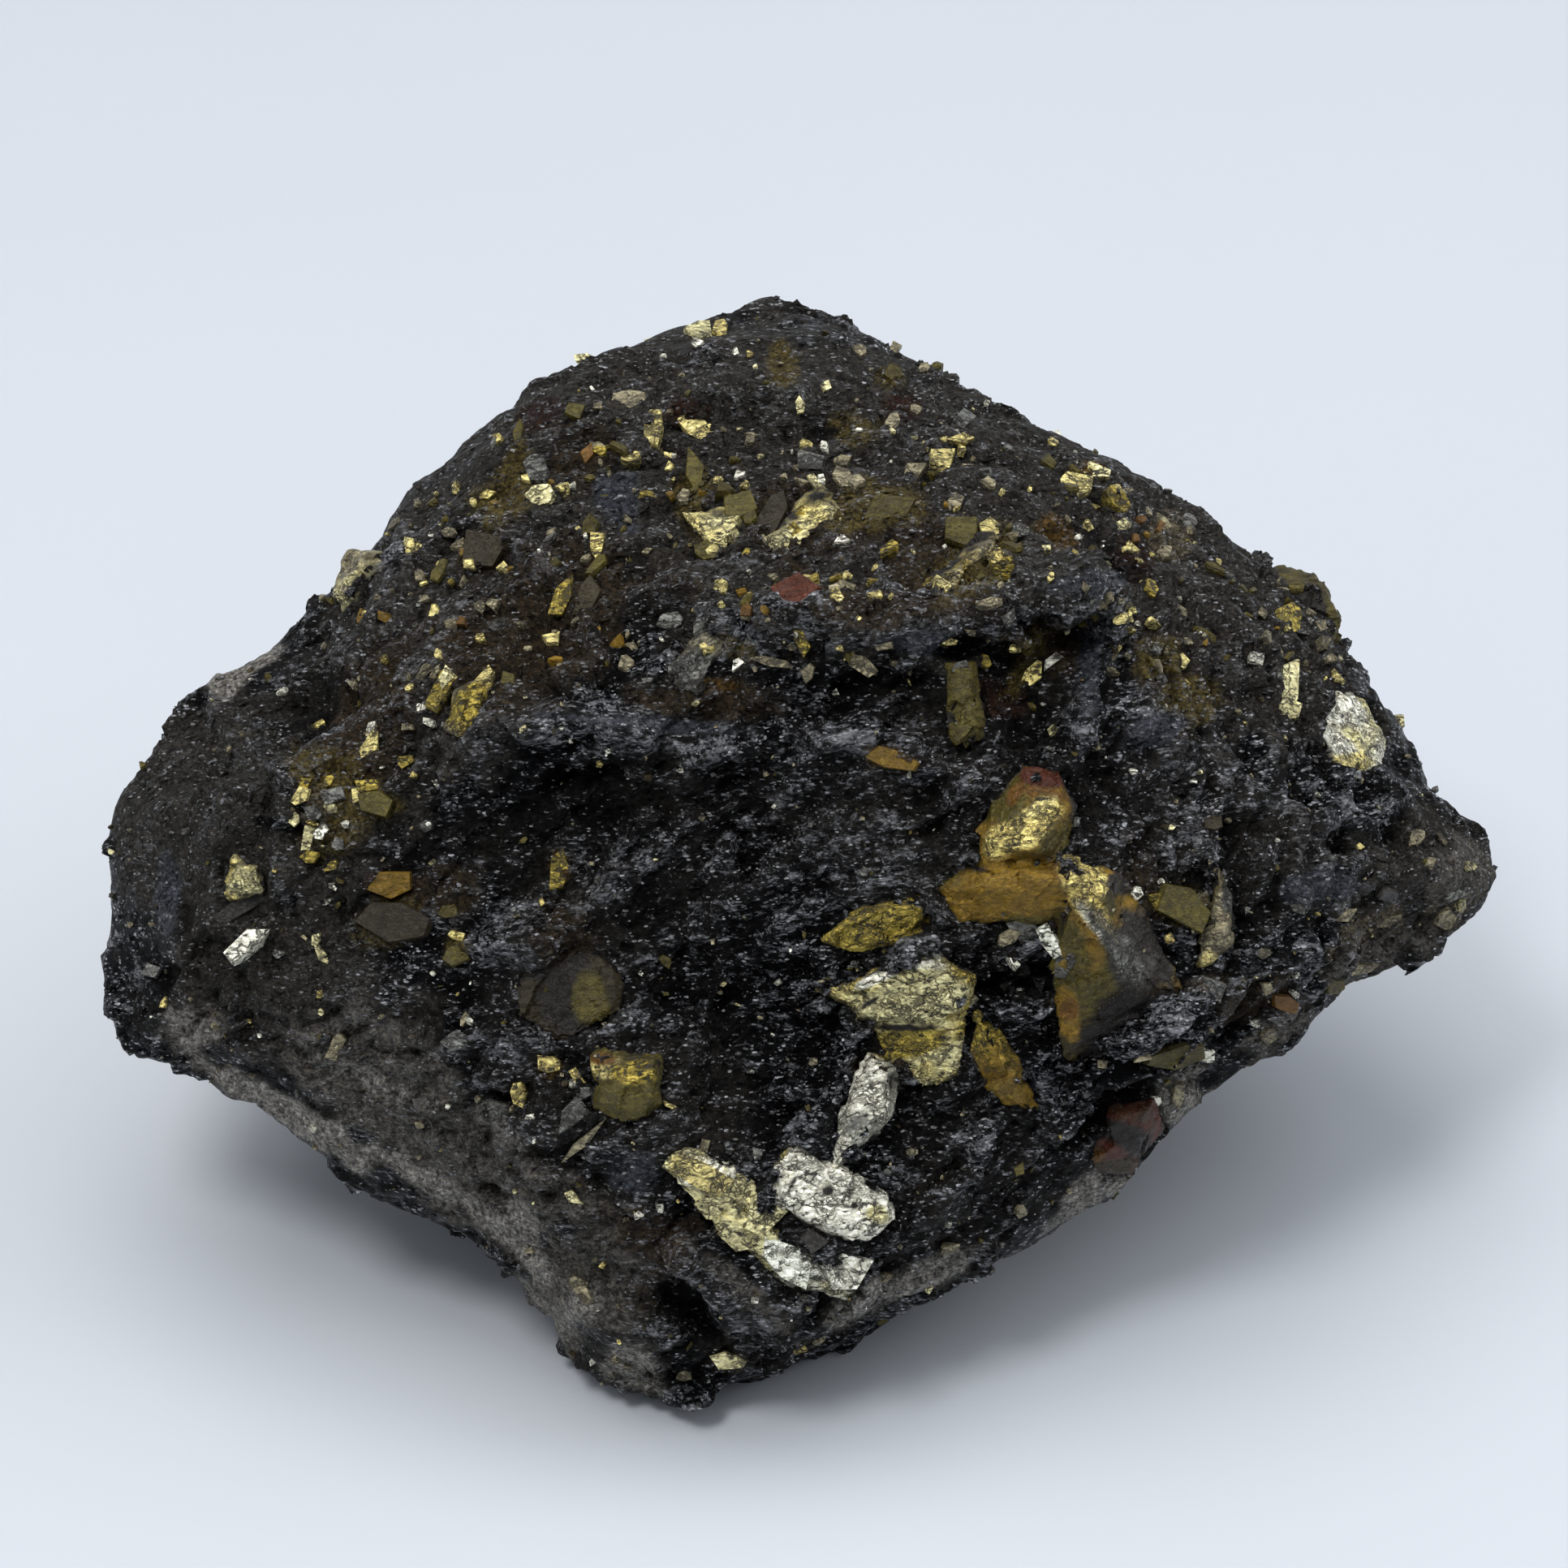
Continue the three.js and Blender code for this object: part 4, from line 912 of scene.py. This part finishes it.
class Shards:
    """Gathers small crystals with flat faces, to be joined in one mesh."""

    def __init__(self, name):
        self.name = name
        self.points, self.faces, self.tints, self.metals = [], [], [], []

    def add(self, middle, along, aside, out, height, tint, rng):
        """One crystal: along and aside reach from its middle to its rim, and out is its face's direction."""
        rim = shard_rim(along, aside, rng)
        count = len(rim)
        size = np.linalg.norm(aside)
        taper = rng.uniform(*SHARD_TAPER, (count, 1))
        rise = height * rng.uniform(*SHARD_RISE, (count, 1))
        root = rim * ROOT_WIDTH - out * ROOT_DEPTH * size
        rings = [rim * taper + out * rise, rim - out * RIM_DEPTH * size, root]
        self.faces += shard_faces(len(self.points), count)
        self.points += list(middle + np.concatenate(rings))
        colour = np.array(TINTS[tint]) * rng.uniform(*SHARD_SHADES)
        self.tints += [np.clip(colour, 0, 1)] * (3 * count)
        self.metals += [METALS[tint]] * (3 * count)

    def build(self):
        mesh = mesh_from(self.name, self.points, self.faces)
        set_colour(mesh, "tint", np.array(self.tints))
        set_attribute(mesh, "metal", self.metals)
        return link(self.name, mesh)


def fleck_axes(sight, out, angle):
    """Two directions in a fleck's face that look turned by this angle across and up the show face."""
    turn = math.radians(angle)
    along = ACROSS * math.cos(turn) + UP * math.sin(turn)
    aside = UP * math.cos(turn) - ACROSS * math.sin(turn)
    return [way - sight * (way @ out) / (sight @ out) for way in (along, aside)]


def make_flecks(rock, rng):
    """The listed small crystals, each laid where it is seen, half sunk in the rock."""
    shards = Shards("flecks")
    surface = BVHTree.FromPolygons(rock.points.tolist(), rock.triangles.tolist())
    eye = on_face(*VIEW_AIM, VIEW_DISTANCE)
    for tint, across, up, length, width, angle in FLECKS:
        sight = on_face(across, up, 0) - eye
        sight /= np.linalg.norm(sight)
        hit, _, face, _ = surface.ray_cast(Vector(eye), Vector(sight))
        if hit is None:
            continue
        lie = rock.directions[rock.triangles[face]].mean(0)
        out = lie + FLECK_LEAN * OUT + rng.normal(0, FLECK_TILT, 3)
        out /= np.linalg.norm(out)
        along, aside = fleck_axes(sight, out, angle)
        middle = np.array(hit) + out * FLECK_LIFT * min(1, width)
        half_length, half_width = FLECK_GROWTH * length / 2, FLECK_GROWTH * width / 2
        height = FLECK_HEIGHT + FLECK_HEIGHT_GAIN * width
        shards.add(middle, along * half_length, aside * half_width, out, height, tint, rng)
    return shards.build()


# Grains

# Small crystals at random. Their sizes are given by the middle and the spread of the logarithm, the least
# and the most, and their tints by the share of each.
GRAIN_COUNT = 1500
GRAIN_SIZES = (-1.45, 0.45, 0.1, 0.7)
GRAIN_TINTS = {
    "tan": 0.34, "grey": 0.2, "silver": 0.12, "pale": 0.08, "gold": 0.06, "olive": 0.12, "brown": 0.08,
}
# Larger grains lie on the upper slope of the show face, between these heights.
SLOPE_FOOT, SLOPE_HEAD = 7, 17.5
SLOPE_COUNT = 300
SLOPE_SIZES = (-0.5, 0.4, 0.3, 1.5)
SLOPE_TINTS = {"tan": 0.3, "yellow": 0.26, "olive": 0.24, "scale": 0.1, "grey": 0.12, "amber": 0.08}
HIDDEN_COUNT = 330
HIDDEN_SIZES = (-0.15, 0.45, 0.4, 2.6)
HIDDEN_TINTS = {
    "pale": 0.2, "gold": 0.16, "scale": 0.18, "olive": 0.2, "tan": 0.14, "silver": 0.06, "brown": 0.06,
}
GRAIN_FOOT = 1  # none lie lower than this
GRAIN_RIM = 0.3  # grains keep off the rim as seen, where less than this of the direction is along OUT
GRAIN_TILT = 0.25
GRAIN_WIDTH = (0.35, 0.9)  # as a share of the length
GRAIN_LIFT = 0.1
GRAIN_HEIGHT = 0.06
GRAIN_HEIGHT_GAIN = 0.1  # for each mm of length


def random_sizes(count, sizes, rng):
    middle, spread, least, most = sizes
    return np.clip(rng.lognormal(middle, spread, count), least, most)


def add_at_random(shards, rock, sizes, tints, rng, where):
    """Adds a crystal of each size at a random place on some of the rock, turned at random."""
    places, facing, _ = rock.scattered(len(sizes), rng, where)
    shares = np.array(list(tints.values()))
    names = rng.choice(list(tints), len(sizes), p=shares / shares.sum())
    for middle, out, size, tint in zip(places, facing, sizes, names):
        if middle[2] < GRAIN_FOOT:
            continue
        out = out + rng.normal(0, GRAIN_TILT, 3)
        out /= np.linalg.norm(out)
        along = np.cross(out, rng.normal(0, 1, 3))
        along *= size / 2 / np.linalg.norm(along)
        aside = np.cross(out, along) * rng.uniform(*GRAIN_WIDTH)
        height = GRAIN_HEIGHT + GRAIN_HEIGHT_GAIN * size
        shards.add(middle + out * GRAIN_LIFT, along, aside, out, height, tint, rng)


def make_grains(rock, rng):
    """Grains all over the rock but for its rim as seen, and larger ones on the show face's upper slope."""
    shards = Shards("grains")
    facing = rock.directions @ OUT
    sizes = random_sizes(GRAIN_COUNT, GRAIN_SIZES, rng)
    add_at_random(shards, rock, sizes, GRAIN_TINTS, rng, abs(facing) > GRAIN_RIM)
    up = face_places(rock.points)[:, 1]
    slope = (facing > GRAIN_RIM) & (up > SLOPE_FOOT) & (up < SLOPE_HEAD)
    sizes = random_sizes(SLOPE_COUNT, SLOPE_SIZES, rng)
    add_at_random(shards, rock, sizes, SLOPE_TINTS, rng, slope)
    return shards.build()


def make_hidden_flecks(rock, rng):
    """Small crystals on the sides that the front doesn't show, as thick as on the show face."""
    shards = Shards("hidden_flecks")
    sizes = random_sizes(HIDDEN_COUNT, HIDDEN_SIZES, rng)
    add_at_random(shards, rock, sizes, HIDDEN_TINTS, rng, rock.directions @ OUT < 0)
    return shards.build()


# Materials

ROCK_DARK = (0.0015, 0.0015, 0.0018, 1)
# The grey of the rock's metallic grain, partly painted sheen that gathers on crests.
ROCK_METAL_AND_SHEEN = (0.52, 0.53, 0.56, 1)
# The colour of the rock's painted glints.
GLINT_COLOUR = (0.95, 0.96, 1, 1)
CRACK_COLOUR = (0.014, 0.011, 0.008, 1)
TABLE_DARK = (0.66, 0.695, 0.745, 1)
TABLE_LIGHT = (0.71, 0.745, 0.79, 1)


class Nodes:
    """Builds the nodes of a material or of the world one at a time."""

    def __init__(self, owner):
        owner.use_nodes = True
        self.tree = owner.node_tree

    def node(self, kind, inputs=None, **settings):
        node = self.tree.nodes.new("ShaderNode" + kind)
        for name, value in settings.items():
            setattr(node, name, value)
        for name, value in (inputs or {}).items():
            self.put(node.inputs[name], value)
        return node

    def put(self, socket, value):
        if isinstance(value, bpy.types.NodeSocket):
            self.tree.links.new(value, socket)
        else:
            socket.default_value = value

    def math(self, operation, a, b):
        return self.node("Math", {0: a, 1: b}, operation=operation).outputs[0]

    def plus(self, a, b):
        return self.math("ADD", a, b)

    def minus(self, a, b):
        return self.math("SUBTRACT", a, b)

    def times(self, a, b):
        return self.math("MULTIPLY", a, b)

    def most(self, a, b):
        return self.math("MAXIMUM", a, b)

    def vector(self, operation, a, b=(0, 0, 0)):
        return self.node("VectorMath", {0: a, 1: b}, operation=operation).outputs[0]

    def scaled(self, value, amount):
        return self.node("VectorMath", {0: value, "Scale": amount}, operation="SCALE").outputs[0]

    def mix(self, share, a, b):
        """A colour between two."""
        return self.node("Mix", {0: share, 6: a, 7: b}, data_type="RGBA").outputs[2]

    def blend(self, share, a, b):
        """A number between two."""
        return self.node("Mix", {0: share, 2: a, 3: b}, data_type="FLOAT").outputs[0]

    def ramp(self, value, low, high):
        return self.node("MapRange", {0: value, 1: low, 2: high}).outputs[0]

    def millimetres(self, stretch=(1, 1, 1), turn=(0, 0, 0)):
        place = self.node("TexCoord").outputs["Object"]
        scale = [s / MM for s in stretch]
        return self.node("Mapping", {0: place, "Rotation": turn, "Scale": scale}).outputs[0]

    def noise(self, place, per_mm, detail=3.0, rough=0.55):
        inputs = {"Vector": place, "Scale": per_mm, "Detail": detail, "Roughness": rough}
        return self.node("TexNoise", inputs).outputs[0]

    def cells(self, place, per_mm, feature="F1"):
        return self.node("TexVoronoi", {"Vector": place, "Scale": per_mm}, feature=feature)

    def attribute(self, name, output="Fac"):
        return self.node("Attribute", attribute_name=name).outputs[output]

    def bump(self, height, distance):
        return self.node("Bump", {"Height": height, "Distance": distance * MM}).outputs[0]

    def leaning(self, normal, colours, amount):
        """A normal that leans another way in each cell of a pattern, as its colours say."""
        lean = self.scaled(self.vector("SUBTRACT", colours, (0.5, 0.5, 0.5)), amount)
        return self.vector("NORMALIZE", self.vector("ADD", normal, lean))


class Shader(Nodes):
    """A Principled material."""

    def __init__(self, name):
        self.material = bpy.data.materials.new(name)
        super().__init__(self.material)
        self.principled = self.tree.nodes["Principled BSDF"]

    def set(self, **inputs):
        for name, value in inputs.items():
            self.put(self.principled.inputs[name.replace("_", " ")], value)


def rock_texture(s, streaks):
    """The rock's fine streaks, and its height: the streaks with wide forms and the surface's own rise. The
    height only places painted sheen and glints, so crests look lit and hollows stay black.
    """
    lift = s.times(s.minus(s.attribute("rise"), 0.5), 0.3)
    coarse = s.plus(s.noise(streaks, 0.9, 5, 0.7), lift)
    texture = s.noise(streaks, 3.4, 6, 0.85)
    return texture, s.plus(texture, s.times(s.minus(coarse, 0.5), 0.45))


def stain_share(s, place):
    """How stained the rock is: its cover, in patches."""
    patch = s.ramp(s.noise(place, 2.6, 6, 0.75), 0.40, 0.58)
    return s.times(s.attribute("cover"), s.plus(s.times(patch, 0.7), 0.3))


def stain_colour(s, place):
    """The stain, with its painted shadow and painted sheen, mottled with darker and lighter shades of itself.
    """
    stain = s.attribute("stain", "Color")
    mottle = s.ramp(s.noise(place, 6.5, 4, 0.75), 0.38, 0.64)
    return s.mix(mottle, s.scaled(stain, 0.3), s.scaled(stain, 1.7))


def rock_glints(s, cells, height, bare):
    """Painted glints: small near-white metallic spots in the base colour, more of them where the rock stands
    high and is bare.
    """
    parts = s.node("SeparateColor", {0: cells.outputs["Color"]}).outputs
    reach = s.plus(s.times(parts[1], 0.45), 0.25)
    small = s.math("LESS_THAN", cells.outputs["Distance"], reach)
    bar = s.minus(0.99, s.times(s.ramp(height, 0.42, 0.66), 0.7))
    glint = s.times(s.ramp(parts[0], bar, 1.0), small)
    return s.times(s.times(glint, glint), bare)


def rock_finish():
    s = Shader("black_rock")
    place = s.millimetres()
    streaks = s.millimetres(stretch=(0.5, 1, 1.3), turn=(0.6, 0.2, 0.1))
    texture, height = rock_texture(s, streaks)
    # Painted sheen: metallic grey where the streaks and the rock's rise stand high, none in hollows.
    bright = s.ramp(height, 0.55, 0.72)
    share = stain_share(s, place)
    bare = s.minus(1.0, s.times(share, 0.85))
    cells = s.cells(streaks, 9.0)
    glint = rock_glints(s, cells, height, bare)
    base = s.mix(share, s.mix(bright, ROCK_DARK, ROCK_METAL_AND_SHEEN), stain_colour(s, place))
    metal = s.most(s.times(s.times(bright, bare), 0.7), s.times(glint, 0.6))
    normal = s.leaning(s.bump(texture, 0.3), cells.outputs["Color"], 0.7)
    # Painted glints and painted sheen go into the base colour.
    s.set(Base_Color=s.mix(glint, base, GLINT_COLOUR), Metallic=metal, Normal=normal)
    s.set(Roughness=s.blend(share, 0.27, 0.7), Specular_IOR_Level=0.16)
    return s.material


def cracks(s, place, per_mm, depth, edge):
    """The lines between cells, as dark as `depth`, that fade out over `edge`."""
    distance = s.cells(place, per_mm, "DISTANCE_TO_EDGE").outputs["Distance"]
    return s.minus(depth, s.ramp(distance, *edge))


def crystal_darkness(s, place, streaks, metal):
    """The dark cracks and pits of a crystal, fainter where it is less metallic."""
    wander = s.node("TexNoise", {"Vector": place, "Scale": 1.6, "Detail": 4.0}).outputs["Color"]
    warped = s.vector("ADD", streaks, s.scaled(wander, 1.5))
    wide = s.times(cracks(s, warped, 1.1, 0.95, (0.015, 0.1)), s.ramp(s.noise(place, 1.1), 0.3, 0.5))
    thin = s.times(cracks(s, warped, 3.4, 0.9, (0.03, 0.2)), s.ramp(s.noise(place, 0.8), 0.4, 0.6))
    pits = s.times(s.ramp(s.noise(streaks, 2.6, 6, 0.75), 0.56, 0.59), 0.97)
    strength = s.blend(s.ramp(metal, 0.1, 0.4), 0.4, 1.0)
    return s.times(s.most(s.most(wide, thin), pits), strength)


def crystal_colour(s, streaks, shade, metal):
    """A crystal's tint, shaded, with painted glints where it is metallic."""
    tint = s.attribute("tint", "Color")
    base = s.mix(shade, s.scaled(tint, 0.85), s.scaled(tint, 1.5))
    # Painted glints: some cells take the tint four times over.
    glint_cells = s.node("SeparateColor", {0: s.cells(streaks, 6.5).outputs["Color"]}).outputs[0]
    painted_glint = s.times(s.ramp(glint_cells, 0.42, 0.9), s.ramp(metal, 0.2, 0.7))
    return s.mix(painted_glint, base, s.scaled(tint, 4.0))


def crystal_finish():
    s = Shader("pyrite")
    place = s.millimetres()
    streaks = s.millimetres(stretch=(0.6, 1.3, 1.3), turn=(0.5, 0.3, 0.2))
    metal = s.attribute("metal")
    dark = crystal_darkness(s, place, streaks, metal)
    shade = s.ramp(s.noise(streaks, 3.2, 6, 0.7), 0.35, 0.65)
    base = s.mix(dark, crystal_colour(s, streaks, shade, metal), CRACK_COLOUR)
    height = s.minus(s.noise(streaks, 4.5, 6, 0.7), s.times(dark, 0.7))
    normal = s.leaning(s.bump(height, 0.08), s.cells(place, 6.0).outputs["Color"], 0.4)
    s.set(Base_Color=base, Metallic=s.times(metal, s.minus(1.0, dark)), Normal=normal)
    s.set(Roughness=s.blend(shade, 0.42, 0.24), Specular_IOR_Level=0.4)
    return s.material


def floor_finish():
    s = Shader("pale_table")
    place = s.millimetres()
    base = s.mix(s.noise(place, 0.01, 3), TABLE_DARK, TABLE_LIGHT)
    s.set(Base_Color=base, Roughness=0.5, Normal=s.bump(s.noise(place, 1.5, 3), 0.01))
    return s.material


# Scene

# The floor reaches this far to the front and the back, then bends up into a wall over some steps.
FLOOR_HALF = 600
FLOOR_BACK = 260
FLOOR_BEND = 300
FLOOR_STEPS = 16
LIGHT_TARGET = (0, 0, 15)
LIGHT_UP = (0, 1, 0.2)
# Each light's place, size, power and colour.
LIGHTS = {
    "key": ((-70, 60, 370), 330, 0.57, (1, 0.98, 0.96)),
    "fill": ((260, 60, 260), 300, 0.42, (0.96, 0.97, 1)),
    "glints": ((-110, -150, 330), 110, 0.42, (1, 1, 1)),
}
# The sky grows lighter along this direction, over this range of heights.
SKY_DIRECTION = (0, 0.35, 0.94)
SKY_RANGE = (-0.35, 0.95)
SKY_DARK = (0.04, 0.043, 0.05, 1)
SKY_LIGHT = (0.65, 0.68, 0.72, 1)
# Each crystal's noise has salts of its own.
FIRST_SALT = 100
SALT_STEP = 20


def make_floor():
    profile = [(-FLOOR_HALF, 0), (FLOOR_BACK, 0)]
    for k in range(1, FLOOR_STEPS + 1):
        turn = math.pi / 2 * k / FLOOR_STEPS
        profile.append((FLOOR_BACK + FLOOR_BEND * math.sin(turn), FLOOR_BEND * (1 - math.cos(turn))))
    profile.append((FLOOR_BACK + FLOOR_BEND, 2 * FLOOR_HALF))
    points = [(x, y, z) for y, z in profile for x in (-2 * FLOOR_HALF, 2 * FLOOR_HALF)]
    faces = [(2 * k, 2 * k + 1, 2 * k + 3, 2 * k + 2) for k in range(len(profile) - 1)]
    floor = link("floor", mesh_from("floor", points, faces))
    floor.data.shade_smooth()
    floor.data.materials.append(floor_finish())


def look_from(obj, place, target, up=(0, 0, 1)):
    place, target = Vector(place) * MM, Vector(target) * MM
    back = (place - target).normalized()
    right = Vector(up).cross(back).normalized()
    turn = Matrix((right, back.cross(right), back)).transposed()
    obj.matrix_world = Matrix.Translation(place) @ turn.to_4x4()


def make_light(name, place, size, power, colour):
    data = bpy.data.lights.new(name, "AREA")
    data.shape = "DISK"
    data.size = size * MM
    data.energy = power
    data.color = colour
    look_from(link(name, data), place, LIGHT_TARGET, LIGHT_UP)


def make_camera():
    data = bpy.data.cameras.new("camera")
    data.sensor_width = SENSOR_WIDTH
    data.lens = LENS
    data.clip_start = 0.01
    camera = link("camera", data)
    eye = on_face(*VIEW_AIM, VIEW_DISTANCE)
    look_from(camera, eye, eye - OUT)
    bpy.context.scene.camera = camera


def make_sky():
    """Light from all round that is dark at one end of a direction and light at the other."""
    world = bpy.data.worlds.new("studio")
    bpy.context.scene.world = world
    nodes = Nodes(world)
    direction = nodes.node("TexCoord").outputs["Generated"]
    height = nodes.node("VectorMath", {0: direction, 1: SKY_DIRECTION}, operation="DOT_PRODUCT")
    share = nodes.ramp(height.outputs["Value"], *SKY_RANGE)
    background = nodes.tree.nodes["Background"]
    nodes.put(background.inputs["Color"], nodes.mix(share, SKY_DARK, SKY_LIGHT))
    background.inputs["Strength"].default_value = 1


def light_scene():
    for name, light in LIGHTS.items():
        make_light(name, *light)
    make_sky()
    bpy.context.scene.view_settings.view_transform = "Standard"


def dress(piece, material, slot, node=None):
    piece.data.materials.append(material)
    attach(piece, "root")
    if node:
        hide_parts(node)


def main():
    rng = np.random.default_rng(SEED)
    stone, pyrite = rock_finish(), crystal_finish()
    rock = Rock()
    for part in split_rock(rock):
        dress(part, stone, "rock", "host_rock")
    dress(make_flakes(rock, rng), stone, "rock")
    slots = {s["node"]: s["material_slot"] for s in frame["record"]["subparts"]}
    for number, node in enumerate(CRYSTAL_NODES):
        dress(make_crystal(node, FIRST_SALT + SALT_STEP * number), pyrite, slots[node], node)
    dress(make_flecks(rock, rng), pyrite, "pyrite_pale")
    dress(make_grains(rock, rng), pyrite, "pyrite_dull")
    dress(make_hidden_flecks(rock, rng), pyrite, "pyrite_gold")
    make_floor()
    make_camera()
    light_scene()


main()
